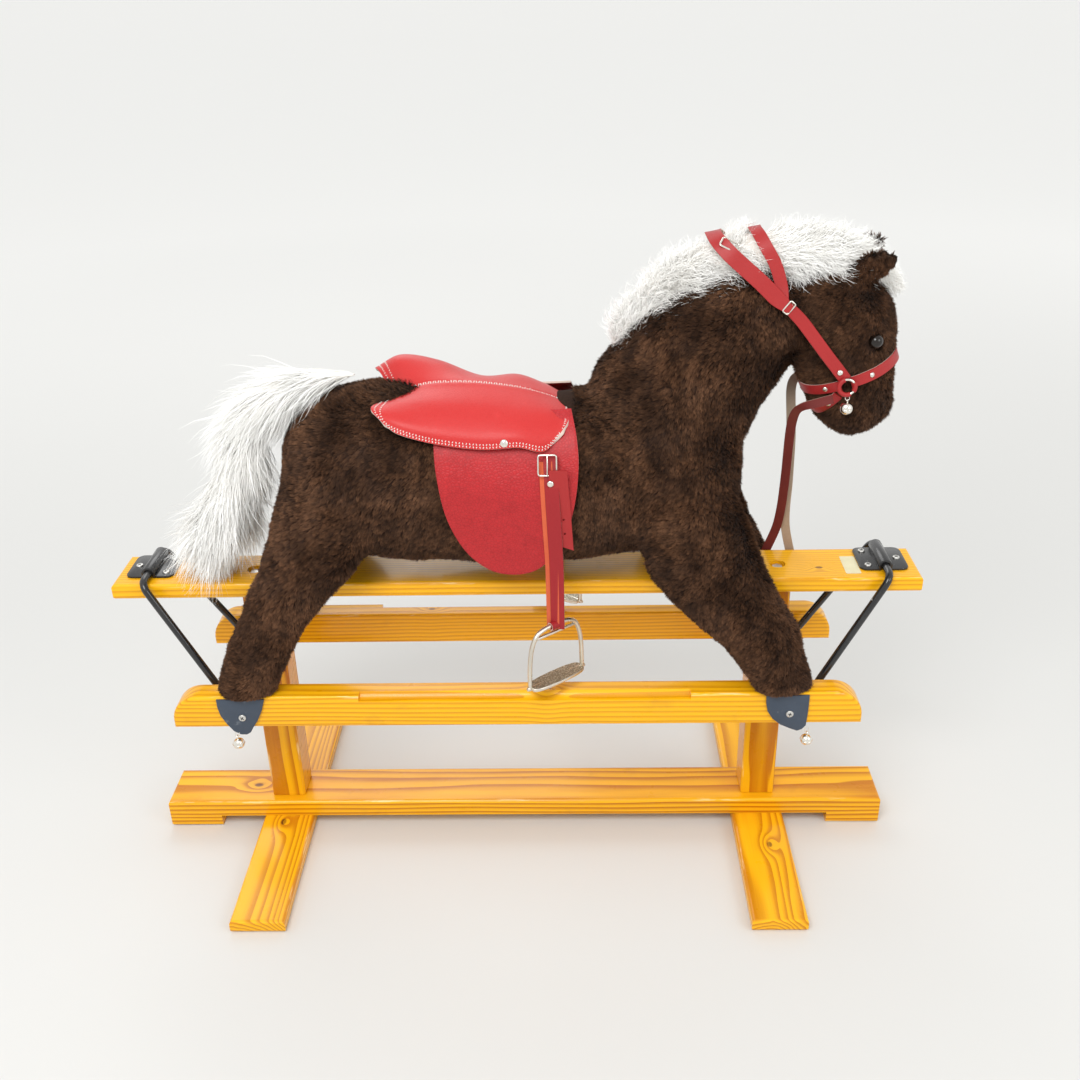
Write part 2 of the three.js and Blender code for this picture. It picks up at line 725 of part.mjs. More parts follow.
function buildSaddle(horse) {
  const blank = new THREE.ExtrudeGeometry(seatPlan(), {
    depth: 200, bevelEnabled: false, curveSegments: 6,
  }).translate(0, 0, pivotUp + 6);
  named('saddle_seat', shape(torsoShell(seatInner, seatOuter).intersect(solid(blank))),
    redLeather, horse);

  const flaps = torsoShell(flapInner, flapOuter);
  for (const side of [-1, 1]) {
    const reach = side < 0 ? [-200, -30] : [30, 200];
    const pattern = solid(sideExtrude(flapOutline(), ...reach));
    named(side < 0 ? 'right_flap' : 'left_flap', shape(flaps.intersect(pattern)),
      crimsonLeather, horse);
  }
  const band = solid(boxBetween([-6, -200, 100], [28, 200, 300]));
  named('girth', shape(torsoShell(gap, girthOuter).intersect(band)), crimsonLeather, horse);
}

// Stirrup leather: a doubled strap lying on the flap, then hanging plumb to its eye. Drawn on
// the horse's left in Y and Z about the pivot, then mirrored for the right.
const eyeBore = stirrupRod + 2 * runningGap;
const eyeOuter = eyeBore + 2 * 2.4;
function leatherStrap(side) {
  const topSide = leatherSide - 20;
  const outline = new THREE.Shape();
  outline.moveTo(topSide, -6);
  outline.lineTo(topSide + 1, -12);
  outline.quadraticCurveTo(leatherSide - 1, -40, leatherSide, -86);
  outline.lineTo(leatherSide, -leatherLength + 3);
  outline.lineTo(leatherSide + leatherThick, -leatherLength + 3);
  outline.lineTo(leatherSide + leatherThick, -86);
  outline.quadraticCurveTo(leatherSide + leatherThick, -40, topSide + leatherThick + 1, -12);
  outline.lineTo(topSide + leatherThick, -6);
  const strip = new THREE.ExtrudeGeometry(outline, {
    depth: leatherWidth, bevelEnabled: false, curveSegments: 6,
  }).applyMatrix4(new THREE.Matrix4().set(
    0, 0, 1, -leatherWidth / 2,
    1, 0, 0, 0,
    0, 1, 0, 0,
    0, 0, 0, 1,
  ));
  const middle = leatherSide + leatherThick / 2;
  const place = (geometry) => geometry.rotateZ(-Math.PI / 2 - stirrupTurn)
    .translate(0, middle, -leatherLength);
  const wrap = solid(place(rod(eyeOuter, leatherWidth - 2)));
  const bore = solid(place(rod(eyeBore, 2 * leatherWidth)));
  const body = solid(strip).add(wrap).subtract(bore);
  return side > 0 ? body : body.mirror([0, 1, 0]);
}

function buckleFrame() {
  const wire = 3;
  const frame = new THREE.Shape();
  frame.moveTo(-15, -14);
  frame.lineTo(15, -14);
  frame.lineTo(15, 14);
  frame.lineTo(-15, 14);
  const hole = new THREE.Path();
  hole.moveTo(-15 + wire, -14 + wire);
  hole.lineTo(-15 + wire, 14 - wire);
  hole.lineTo(15 - wire, 14 - wire);
  hole.lineTo(15 - wire, -14 + wire);
  frame.holes.push(hole);
  return sideExtrude(frame, -wire / 2, wire / 2);
}

// Stirrup iron about its top bar: bar, web under the strap's slot, two bowed branches, tread.
function stirrupIron() {
  const drop = stirrupHeight - stirrupRod;
  const top = (stirrupTopWidth - stirrupRod) / 2;
  const wide = (stirrupWidth - stirrupRod) / 2;
  const foot = 6;
  const at = (x, z) => new THREE.Vector3(x, 0, z);
  const loop = new THREE.CurvePath();
  loop.add(new THREE.LineCurve3(at(-top, 0), at(top, 0)));
  loop.add(new THREE.CubicBezierCurve3(
    at(top, 0), at(wide * 0.85, -1), at(wide, -drop * 0.4), at(wide, foot - drop)));
  loop.add(new THREE.QuadraticBezierCurve3(
    at(wide, foot - drop), at(wide, -drop), at(wide - foot, -drop)));
  loop.add(new THREE.LineCurve3(at(wide - foot, -drop), at(foot - wide, -drop)));
  loop.add(new THREE.QuadraticBezierCurve3(
    at(foot - wide, -drop), at(-wide, -drop), at(-wide, foot - drop)));
  loop.add(new THREE.CubicBezierCurve3(
    at(-wide, foot - drop), at(-wide, -drop * 0.4), at(-wide * 0.85, -1), at(-top, 0)));
  const steps = 44;
  const sides = 8;
  const rings = [];
  for (let step = 0; step <= steps; step += 1) {
    const centre = loop.getPointAt((step % steps) / steps);
    const run = loop.getTangentAt((step % steps) / steps);
    const out = new THREE.Vector3(run.z, 0, -run.x);
    const ring = [];
    for (let side = 0; side < sides; side += 1) {
      const turn = (side / sides) * 2 * Math.PI;
      const point = centre.clone().addScaledVector(out, Math.cos(turn) * stirrupRod / 2);
      point.y = Math.sin(turn) * stirrupRod / 2;
      ring.push(point);
    }
    rings.push(ring);
  }
  const tread = boxBetween(
    [4 - wide, -treadDepth / 2, -drop - 2.5],
    [wide - 4, treadDepth / 2, -drop + 2.5],
  );
  const webReach = top + 17;
  const web = boxBetween([-webReach, -2, -stirrupSlot - 2], [webReach, 2, 2 - stirrupSlot]);
  return solid(ringSkin(rings)).add(solid(tread)).add(solid(web));
}

// A closed skin over rings whose last ring is the first again.
function ringSkin(rings) {
  const sides = rings[0].length;
  const faces = [];
  for (let ring = 0; ring < rings.length - 1; ring += 1) {
    for (let side = 0; side < sides; side += 1) {
      const a = ring * sides + side;
      const b = ring * sides + (side + 1) % sides;
      faces.push(a, b, a + sides, b, b + sides, a + sides);
    }
  }
  const geometry = new THREE.BufferGeometry().setFromPoints(rings.flat());
  geometry.setIndex(faces);
  return geometry;
}

function buildStirrups(horse) {
  for (const side of [-1, 1]) {
    const name = side < 0 ? 'right' : 'left';
    named(`${name}_stirrup_leather`, shape(leatherStrap(side)), crimsonLeather, horse)
      .position.set(pivotX, 0, pivotUp);
    named(`${name}_buckle`, buckleFrame(), nickel, horse)
      .position.set(pivotX - 1, side * (leatherSide + leatherThick + gap + 1.5), pivotUp - 66);
    const middle = side * (leatherSide + leatherThick / 2);
    const iron = named(`${name}_stirrup`, shape(stirrupIron()), nickel, horse);
    iron.rotation.z = -side * stirrupTurn;
    iron.position.set(pivotX, middle, pivotUp - leatherLength);
  }
}

// ---------------------------------------------------------------- bridle
// A slab of the strap's width along a line in the X-Z plane, cut across the whole head.
function strapSlab(fromX, fromZ, toX, toZ, width) {
  const run = Math.hypot(toX - fromX, toZ - fromZ);
  const lean = Math.atan2(toZ - fromZ, toX - fromX);
  return solid(new THREE.BoxGeometry(run, 300, width)
    .rotateY(-lean).translate((fromX + toX) / 2, 0, (fromZ + toZ) / 2));
}

const ringPlace = { x: 406, y: 55.5, z: 395 };
const keeperPlace = { x: 330, z: 486 };
function buildBridle(horse) {
  const strap = shell(gap, gap + strapThick);
  const muzzle = limb(headSections, gap + strapThick)
    .subtract(limb(headSections, gap));
  const noseband = muzzle.intersect(strapSlab(330, 367, 500, 434, strapWidth))
    .subtract(limb(neckSections, gap)).subtract(limb(torsoSections, gap, 24));
  named('noseband', shape(noseband), redLeather, horse);

  const behindNose = solid(boxBetween([-500, -300, -300], [500, 300, 900]))
    .subtract(strapSlab(300, 355.4, 520, 442, strapWidth + 2 * gap));
  const cheek = strapSlab(ringPlace.x, ringPlace.z + 10, keeperPlace.x, keeperPlace.z, strapWidth)
    .add(strapSlab(keeperPlace.x + 3, keeperPlace.z - 8, 300, 640, strapWidth + 4));
  const headstall = strap.intersect(cheek).intersect(behindNose);
  named('headstall', shape(headstall), redLeather, horse);

  for (const side of [-1, 1]) {
    const name = side < 0 ? 'right' : 'left';
    named(`${name}_bit_ring`, new THREE.TorusGeometry(9.5, 1.4, 6, 16).rotateX(Math.PI / 2),
      nickel, horse).position.set(ringPlace.x, side * ringPlace.y, ringPlace.z);
    named(`${name}_bit_bell`, bell(), nickel, horse)
      .position.set(ringPlace.x + 2, side * (ringPlace.y + 2), ringPlace.z - 27);
  }
}

// ---------------------------------------------------------------- rein
// The rein leaves the right cheek, passes back under the jaw, hangs down beside the beam on the
// horse's left, turns and comes back up to the left cheek.
const reinRoute = [
  [392, -54, 379], [382, -53.5, 376], [371, -51, 372], [360, -44, 366], [354, -32, 356],
  [353, -18, 340], [354, -4, 318], [356, 10, 288], [358, 22, 256], [359, 32, 222],
  [359, 41, 188], [356, 46.5, 158], [348, 48, 132], [339, 48, 108], [335, 48, 88],
  [339, 48, 68], [351, 48, 56], [366, 48, 54], [379, 48, 64], [384, 48, 84],
  [381, 48, 106], [374, 48, 132], [368, 48, 160], [366, 45, 190], [366, 42, 222],
  [365, 39, 256], [364, 37, 288], [362, 36, 318], [360, 37, 342], [360, 42, 358],
  [364, 49, 368], [373, 53, 373], [383, 54, 376], [392, 54.5, 379],
];

function buildRein(horse) {
  const path = new THREE.CatmullRomCurve3(reinRoute.map((point) => new THREE.Vector3(...point)));
  named('rein', sweep(path, reinDiameter, 8, 52), crimsonLeather, horse);
}

// ---------------------------------------------------------------- assembly
const group = new THREE.Group();
group.add(buildStand());
group.add(buildIron('rear', -1));
group.add(buildIron('front', 1));
named('right_runner', runnerBody(-1), pine, group);
named('left_runner', runnerBody(1), pine, group);
const horse = new THREE.Group();
horse.position.z = bodyBase;
buildPlush(horse);
buildHair(horse);
buildHooves(horse);
buildSaddle(horse);
buildStirrups(horse);
buildBridle(horse);
buildRein(horse);
group.add(horse);

export default group;
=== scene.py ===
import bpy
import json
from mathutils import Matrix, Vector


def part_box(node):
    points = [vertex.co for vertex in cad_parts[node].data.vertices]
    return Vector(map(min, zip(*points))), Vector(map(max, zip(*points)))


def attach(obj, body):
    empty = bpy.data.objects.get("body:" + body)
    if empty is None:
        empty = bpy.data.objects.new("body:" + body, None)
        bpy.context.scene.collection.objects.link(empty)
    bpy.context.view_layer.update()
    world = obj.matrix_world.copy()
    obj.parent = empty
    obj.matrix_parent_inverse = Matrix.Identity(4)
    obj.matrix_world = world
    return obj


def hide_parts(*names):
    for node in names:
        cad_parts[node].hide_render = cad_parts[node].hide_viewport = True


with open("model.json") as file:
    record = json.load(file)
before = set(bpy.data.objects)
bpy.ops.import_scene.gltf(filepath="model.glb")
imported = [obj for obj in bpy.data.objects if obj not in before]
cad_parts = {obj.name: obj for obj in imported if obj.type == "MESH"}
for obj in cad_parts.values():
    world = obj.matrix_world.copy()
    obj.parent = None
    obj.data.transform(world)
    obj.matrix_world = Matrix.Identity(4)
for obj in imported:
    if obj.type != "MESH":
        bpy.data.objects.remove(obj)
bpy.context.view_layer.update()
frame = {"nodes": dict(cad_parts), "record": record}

import json
import math
import bmesh
import bpy
import numpy as np
from mathutils import Matrix, Vector
from mathutils.bvhtree import BVHTree
from mathutils.kdtree import KDTree

# ------------------------------------------------------------------ studio
# A pale floor without a seam, its colour painted darker near the horse and lighter far off as a
# painted gradient of light, a camera at standing height in front of the horse's right side, one
# large soft light above and in front, and a weaker one behind to lift the edges.
scene = bpy.context.scene
scene.view_settings.view_transform = "Standard"
camera_place = Vector((0.074, -1.385, 1.162))
camera_yaw, camera_pitch, camera_roll = (math.radians(d) for d in (-1.62, 27.15, -1.38))
forward = Vector((math.sin(camera_yaw) * math.cos(camera_pitch),
                  math.cos(camera_yaw) * math.cos(camera_pitch), -math.sin(camera_pitch)))
level = Vector((math.cos(camera_yaw), -math.sin(camera_yaw), 0))
rise = level.cross(forward)
right = level * math.cos(camera_roll) + rise * math.sin(camera_roll)
upward = rise * math.cos(camera_roll) - level * math.sin(camera_roll)
camera = bpy.data.objects.new("camera", bpy.data.cameras.new("camera"))
camera.data.lens = 39.0
camera.data.sensor_width = 36.0
camera.data.clip_end = 200
camera.matrix_world = Matrix((right, upward, -forward)).transposed().to_4x4()
camera.location = camera_place
scene.collection.objects.link(camera)
scene.camera = camera


def soft_light(name, place, aim, size, watts):
    light = bpy.data.objects.new(name, bpy.data.lights.new(name, "AREA"))
    light.data.shape = "DISK"
    light.data.size = size
    light.data.energy = watts
    light.location = place
    light.rotation_euler = (Vector(aim) - Vector(place)).to_track_quat("-Z", "Y").to_euler()
    scene.collection.objects.link(light)


soft_light("key_light", (-0.5, -1.6, 2.4), (0, 0, 0.35), 1.3, 36)
soft_light("side_light", (2.0, -1.6, 1.7), (0.1, 0, 0.4), 1.2, 12)
soft_light("back_light", (-0.6, 2.2, 2.2), (0, 0, 0.5), 1.6, 14)
studio = bpy.data.worlds.new("studio")
studio.use_nodes = True
studio.node_tree.nodes["Background"].inputs["Color"].default_value = (1, 1, 0.99, 1)
studio.node_tree.nodes["Background"].inputs["Strength"].default_value = 0.90
scene.world = studio


class Wire:
    """A value in a finish. Arithmetic on wires adds the Math nodes."""

    def __init__(self, tree, socket):
        self.tree, self.socket = tree, socket

    def node(self, kind, settings, inputs, out=0):
        made = self.tree.nodes.new("ShaderNode" + kind)
        for key, value in settings.items():
            if key == "stops":
                ramp = made.color_ramp
                while len(ramp.elements) < len(value):
                    ramp.elements.new(0.5)
                for element, (place, colour) in zip(ramp.elements, value):
                    element.position, element.color = place, (*colour, 1)
            else:
                setattr(made, key, value)
        for key, value in inputs.items():
            if isinstance(value, Wire):
                self.tree.links.new(value.socket, made.inputs[key])
            else:
                made.inputs[key].default_value = value
        return Wire(self.tree, made.outputs[out])

    def math(self, operation, *values):
        return self.node("Math", {"operation": operation}, dict(enumerate(values)))

    def __add__(self, other):
        return self.math("ADD", self, other)

    def __sub__(self, other):
        return self.math("SUBTRACT", self, other)

    def __rsub__(self, other):
        return self.math("SUBTRACT", other, self)

    def __mul__(self, other):
        return self.math("MULTIPLY", self, other)

    def __truediv__(self, other):
        return self.math("DIVIDE", self, other)

    __radd__, __rmul__ = __add__, __mul__

    def step(self, low, high):
        """0 below low and 1 above high, with a smooth rise between; low may be the larger."""
        return self.node("MapRange", {"interpolation_type": "SMOOTHSTEP"},
                         {0: self, 1: low, 2: high})

    def colour(self, plain, full):
        """The plain colour where this is 0 and the full one where it is 1."""
        ends = {key: value if isinstance(value, Wire) else (*value, 1)
                for key, value in ((6, plain), (7, full))}
        return self.node("Mix", {"data_type": "RGBA"}, {0: self, **ends}, out=2)

    def stretch(self, *scale, turn=(0, 0, 0), shift=(0, 0, 0)):
        return self.node("Mapping", {}, {"Vector": self, "Scale": scale, "Rotation": turn,
                                         "Location": shift})

    def noise(self, scale, detail=2.0, rough=0.5, distort=0.0):
        return self.node("TexNoise", {}, {"Vector": self, "Scale": scale, "Detail": detail,
                                          "Roughness": rough, "Distortion": distort})

    def axes(self):
        parts = self.node("SeparateXYZ", {}, {0: self})
        node = parts.socket.node
        return [Wire(self.tree, output) for output in node.outputs]

    def bump(self, depth, strength=1.0):
        return self.node("Bump", {}, {"Strength": strength, "Distance": depth, "Height": self})


def new_finish(name, **fixed):
    """A material with its fixed shader numbers; returns it, its place wire and a way to connect."""
    material = bpy.data.materials.new(name)
    material.use_nodes = True
    tree = material.node_tree
    shader = tree.nodes["Principled BSDF"]
    for socket, value in fixed.items():
        shader.inputs[socket.replace("_", " ")].default_value = value
    place = Wire(tree, tree.nodes.new("ShaderNodeTexCoord").outputs["Object"])

    def connect(socket, wire):
        tree.links.new(wire.socket, shader.inputs[socket])

    return material, place, connect


floor_finish, place, connect = new_finish("studio_floor", Roughness=0.55)
across, away, _ = place.axes()
distance = (across * across + away * away).math("SQRT", across * across + away * away)
scuffs = place.noise(3.0, 4, 0.6) * 0.02 + place.noise(45, 3, 0.6) * 0.01
# Painted light: the floor's colour runs from darker near the horse to lighter far away, a painted
# gradient of light standing in for the brighter backdrop.
connect("Base Color", (distance.step(1.0, 4.5) + scuffs).colour((0.66, 0.66, 0.645),
                                                               (0.96, 0.96, 0.945)))
floor_mesh = bmesh.new()
bmesh.ops.create_circle(floor_mesh, cap_ends=True, segments=96, radius=60)


def finish_piece(name, shape, material=None, smooth=None):
    """Turns a bmesh into a piece; smooth shades edges below that many degrees smoothly."""
    mesh = bpy.data.meshes.new(name)
    shape.to_mesh(mesh)
    shape.free()
    piece = bpy.data.objects.new(name, mesh)
    scene.collection.objects.link(piece)
    if material:
        mesh.materials.append(material)
    if smooth is not None:
        mesh.polygons.foreach_set("use_smooth", [True] * len(mesh.polygons))
        mesh.set_sharp_from_angle(angle=math.radians(smooth))
    return piece


floor = finish_piece("studio_floor", floor_mesh, floor_finish)

# ------------------------------------------------------------------ rein
# One long strap of thin split leather, red on its grain side and buff suede on its flesh side. It
# leaves the right cheek, passes under the jaw, hangs beside the beam and comes back to the left.
runner_top = 0.286
rein_width, rein_thick = 0.012, 0.0016
rein_route = [Vector(point) / 1000 + Vector((0, 0, runner_top)) for point in (
    (392, -54, 379), (382, -53.5, 376), (371, -51, 372), (360, -44, 366), (354, -32, 356),
    (353, -18, 340), (354, -4, 318), (356, 10, 288), (358, 22, 256), (359, 32, 222),
    (359, 41, 188), (356, 46.5, 158), (348, 48, 132), (339, 48, 108), (335, 48, 88),
    (339, 48, 68), (351, 48, 56), (366, 48, 54), (379, 48, 64), (384, 48, 84),
    (381, 48, 106), (374, 48, 132), (368, 48, 160), (366, 45, 190), (366, 42, 222),
    (365, 39, 256), (364, 37, 288), (362, 36, 318), (360, 37, 342), (360, 42, 358),
    (364, 49, 368), (373, 53, 373), (383, 54, 376), (392, 54.5, 379))]


def smooth_path(points, steps):
    """Points along a smooth curve through the given ones, the given number to each span."""
    out = []
    for i in range(len(points) - 1):
        a, b = points[max(i - 1, 0)], points[i]
        c, d = points[i + 1], points[min(i + 2, len(points) - 1)]
        for k in range(steps):
            t = k / steps
            out.append(0.5 * (2 * b + (c - a) * t + (2 * a - 5 * b + 4 * c - d) * t * t
                              + (3 * b - a - 3 * c + d) * t ** 3))
    return out + [points[-1].copy()]


def strap_mesh(path, faces_out, width, thick, closed=False):
    """A flat strap swept along a path; faces_out gives the way its grain side looks at each
    point, and width may vary with the share of the way along. Its faces are 0 on the grain side,
    1 on the flesh side and 2 on the cut edges."""
    shape = bmesh.new()
    rings, outs = [], []
    last = len(path) - 1
    for i, point in enumerate(path):
        ahead, behind = path[(i + 1) % len(path) if closed else min(i + 1, last)], path[
            i - 1 if closed else max(i - 1, 0)]
        run = (ahead - behind).normalized()
        out = faces_out(i, point, run)
        out = (out - run * out.dot(run)).normalized()
        wide = width(i / last) if callable(width) else width
        side = run.cross(out) * wide / 2
        lift = out * thick / 2
        inset = side * (1 - 0.0008 / wide)
        corners = (side + lift * 0.4, inset + lift, -inset + lift, -side + lift * 0.4,
                   -side - lift * 0.4, -inset - lift, inset - lift, side - lift * 0.4)
        ring = [shape.verts.new(point + corner) for corner in corners]
        rings.append([shape.edges.new((ring[k], ring[(k + 1) % 8])) for k in range(8)])
        outs.append(out)
    made = []
    for i, (a, b) in enumerate(zip(rings, rings[1:] + (rings[:1] if closed else []))):
        made.append((bmesh.ops.bridge_loops(shape, edges=a + b)["faces"], outs[i]))
    if not closed:
        for end in (rings[0], rings[-1]):
            bmesh.ops.contextual_create(shape, geom=end)
    bmesh.ops.recalc_face_normals(shape, faces=shape.faces)
    for faces, out in made:
        for face in faces:
            facing = face.normal.dot(out)
            face.material_index = 0 if facing > 0.5 else 1 if facing < -0.5 else 2
    return shape


rein_line = smooth_path(rein_route, 4)
rein_length = sum((b - a).length for a, b in zip(rein_line, rein_line[1:]))


def rein_face(i, point, run):
    """The strap lies flat on the cheeks, and its edges face fore and aft where it hangs."""
    share = i / (len(rein_line) - 1)
    hang = min(1, max(0, (0.5 - abs(share - 0.5)) * 7 - 0.5))
    cheek = Vector((0.2, -1 if share < 0.5 else 1, 0))
    turn = Vector((0.25, 1, 0.1)) if share > 0.5 else Vector((-0.35, -1, 0.1))
    return cheek.lerp(turn, hang)


def strap_leather(name, plain, full, rough, nap_depth=0.0002):
    material, place, connect = new_finish(name, Specular_IOR_Level=0.3)
    nap = place.noise(800, 3, 0.6)
    stain = place.noise(30, 3, 0.6)
    connect("Base Color", (nap * 0.6 + stain * 0.7 - 0.2).colour(plain, full))
    connect("Roughness", nap * 0.2 + rough)
    connect("Normal", nap.bump(nap_depth, 0.6))
    return material


rein_red = strap_leather("rein_grain_side", (0.10, 0.012, 0.012), (0.22, 0.035, 0.030), 0.42)
buff_suede = strap_leather("rein_flesh_side", (0.30, 0.22, 0.16), (0.52, 0.41, 0.31), 0.75)
rein = finish_piece("rein_strap", strap_mesh(rein_line, rein_face, rein_width, rein_thick),
                    rein_red, smooth=40)
rein.data.materials.append(buff_suede)
rein.data.materials.append(buff_suede)
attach(rein, "horse")
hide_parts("rein")

# ------------------------------------------------------------------ pine boards
# The stand's boards and the runners are planed pine, rounded over with a router, sanded and
# varnished in a golden tint. Growth rings run round each log's heart, and knots turn them aside.
gold, amber = (0.93, 0.47, 0.006), (0.50, 0.150, 0.002)


def pine(name, grain, heart, knots=(), spacing=0.0042, drift=0.010, deep=1.0, box=None, warm=0.0):
    """Varnished pine. grain is the board's long axis; heart is where its log's middle runs, as
    distances along the other two axes; a knot is (along, across, radius) on the board's face."""
    material, place, connect = new_finish(name, Coat_Weight=0.28, Coat_Roughness=0.14,
                                          Coat_IOR=1.5, Specular_IOR_Level=0.22)
    order = {"x": (0, 1, 2), "y": (1, 0, 2), "z": (2, 0, 1)}[grain]
    axes = place.axes()
    along, side, up = (axes[i] for i in order)
    pull = [1.0, 1.0, 1.0]
    pull[order[0]] = 0.09
    fibre_pull = [1.0, 1.0, 1.0]
    fibre_pull[order[0]] = 0.018
    sway = place.stretch(*[p * 1.6 for p in pull]).noise(6, 1.5, 0.45)
    wander = place.stretch(*pull).noise(34, 2, 0.5)
    aside = side - heart[0] + (sway - 0.5) * drift * 3
    below = up - heart[1] + (wander - 0.5) * drift * 0.5
    radius = (aside * aside + below * below).math("SQRT", aside * aside + below * below)
    dark_heart = None
    for knot_along, knot_across, knot_size in knots:
        u, v = (along - knot_along) * 0.62, side - knot_across
        if grain == "x" and knot_across is None:
            v = up
        off = (u * u + v * v) * (-0.32 / knot_size ** 2)
        push = off.math("EXPONENT", off)
        radius = radius + push * (knot_size * 1.5)
        core = (u * u + v * v).step((knot_size * 0.62) ** 2, (knot_size * 0.3) ** 2)
        dark_heart = core if dark_heart is None else dark_heart.math("MAXIMUM", dark_heart, core)
    saw = (radius / spacing + (sway - 0.5) * 0.8)
    saw = saw.math("FRACT", saw)
    late = saw.step(0.25, 0.92) * saw.step(1.0, 0.95)
    fibre = place.stretch(*fibre_pull).noise(900, 2, 0.6)
    tone = place.stretch(*pull).noise(9, 2, 0.5)
    shade = late * 0.74 * deep + (fibre - 0.5) * 0.34 + (tone - 0.5) * 0.55 + warm
    colour = shade.node("Clamp", {}, {0: shade}).colour(gold, amber)
    if dark_heart is not None:
        knot_ring = (saw * 0.4 + 0.6) * dark_heart
        colour = knot_ring.colour(colour, (0.10, 0.022, 0.004))
    grime = place.noise(21, 3, 0.6).step(0.60, 0.78) * 0.18
    colour = grime.colour(colour, (0.36, 0.13, 0.02))
    if box:
        low, high = ([corner[i] for i in order] for corner in box)
        near = None
        for axis, lo, hi in ((side, low[1], high[1]), (up, low[2], high[2])):
            off = axis - (lo + hi) / 2
            rim = off.math("ABSOLUTE", off).step((hi - lo) / 2 - 0.0048, (hi - lo) / 2 - 0.0012)
            near = rim if near is None else near * rim
        # Pale marks along each board's long edges: partly rubbed varnish, partly a painted edge
        # highlight on the rounded edges.
        worn = place.stretch(*[p * 1.5 for p in pull]).noise(120, 3, 0.7).step(0.56, 0.66) * near
        colour = (worn * 0.55).colour(colour, (0.95, 0.78, 0.42))
    connect("Base Color", colour)
    dents = place.noise(38, 3, 0.55) * 0.6 + fibre * 0.10 - late * 0.08
    connect("Roughness", (dents - 0.3) * 0.35 + 0.30)
    connect("Normal", dents.bump(0.0011, 0.30))
    return material


for node, name, grain, heart, knots, looks in (
        ("base_rail", "rail_pine", "x", (-0.030, -0.035), ((-0.395, 0.0, 0.008),),
         dict(spacing=0.0075, drift=0.020, deep=1.15, warm=0.06)),
        ("top_beam", "beam_pine", "x", (0.075, 0.340), ((-0.30, 0.020, 0.007), (0.405, -0.012, 0.006)),
         dict(spacing=0.0036, drift=0.012, deep=0.75, warm=-0.06)),
        ("rear_foot", "rear_foot_pine", "y", (-0.372, -0.030), ((-0.052, -0.350, 0.008),),
         dict(spacing=0.0060, drift=0.022)),
        ("front_foot", "front_foot_pine", "y", (0.336, -0.028), ((-0.105, 0.352, 0.007),),
         dict(spacing=0.0056, drift=0.024)),
        ("rear_post", "rear_post_pine", "z", (-0.360, 0.045), ((0.345, -0.350, 0.006),),
         dict(spacing=0.0050, drift=0.012, warm=0.16)),
        ("front_post", "front_post_pine", "z", (0.352, 0.050), ((0.300, 0.336, 0.006),),
         dict(spacing=0.0048, drift=0.013, warm=0.16))):
    board = frame["nodes"][node]
    board.data.materials.clear()
    board.data.materials.append(pine(name, grain, heart, knots, box=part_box(node), **looks))

# ------------------------------------------------------------------ runners
# Two pine bars, round-cornered at their upper ends, with a long shallow hand grip worked along
# the outer top edge and blind pockets in their inner faces for the swing irons.
runner_long, runner_deep, runner_thick, runner_outer = 0.909, 0.048, 0.033, 0.1205
runner_end, runner_round, runner_pin, runner_pin_height = 0.037, 0.0035, 0.400, 0.262
grip_start, grip_end, grip_radius = -0.205, 0.230, 0.013


def runner_bar(side):
    shape = bmesh.new()
    bmesh.ops.create_cube(shape, size=1, matrix=Matrix.Diagonal((runner_long, runner_thick,
                                                                 runner_deep, 1)))
    ends = [e for e in shape.edges if all(v.co.z > 0 for v in e.verts)
            and abs(e.verts[0].co.x - e.verts[1].co.x) < 1e-6]
    bmesh.ops.bevel(shape, geom=ends, offset=runner_end, segments=18, profile=0.5,
                    affect="EDGES", material=-1)
    shape.edges.ensure_lookup_table()
    rims = [e for e in shape.edges if abs(e.verts[0].co.y - e.verts[1].co.y) < 1e-6]
    bmesh.ops.bevel(shape, geom=rims, offset=runner_round, segments=4, profile=0.5,
                    affect="EDGES", material=-1, clamp_overlap=False)
    bmesh.ops.translate(shape, verts=shape.verts, vec=(
        0, side * (runner_outer - runner_thick / 2), runner_top - runner_deep / 2))
    return shape


def cutter(points_xz, low, high):
    """A solid with the given outline in X and Z, from low to high in Y."""
    shape = bmesh.new()
    face = shape.faces.new([shape.verts.new((x, low, z)) for x, z in points_xz])
    grown = bmesh.ops.extrude_face_region(shape, geom=[face])["geom"]
    moved = [g for g in grown if isinstance(g, bmesh.types.BMVert)]
    bmesh.ops.translate(shape, verts=moved, vec=(0, high - low, 0))
    bmesh.ops.recalc_face_normals(shape, faces=shape.faces)
    return shape


def cut_from(piece, tools):
    """Takes the tools' shapes out of a piece, for good."""
    for tool in tools:
        tool_piece = finish_piece("cutting_tool", tool)
        cut = piece.modifiers.new("cut", "BOOLEAN")
        cut.operation, cut.solver, cut.object = "DIFFERENCE", "EXACT", tool_piece
        settle(piece)
        bpy.data.objects.remove(tool_piece)


def settle(piece):
    """Makes a piece's modifiers part of its mesh."""
    bpy.context.view_layer.update()
    shaped = bpy.data.meshes.new_from_object(
        piece.evaluated_get(bpy.context.evaluated_depsgraph_get()))
    piece.modifiers.clear()
    piece.data = shaped


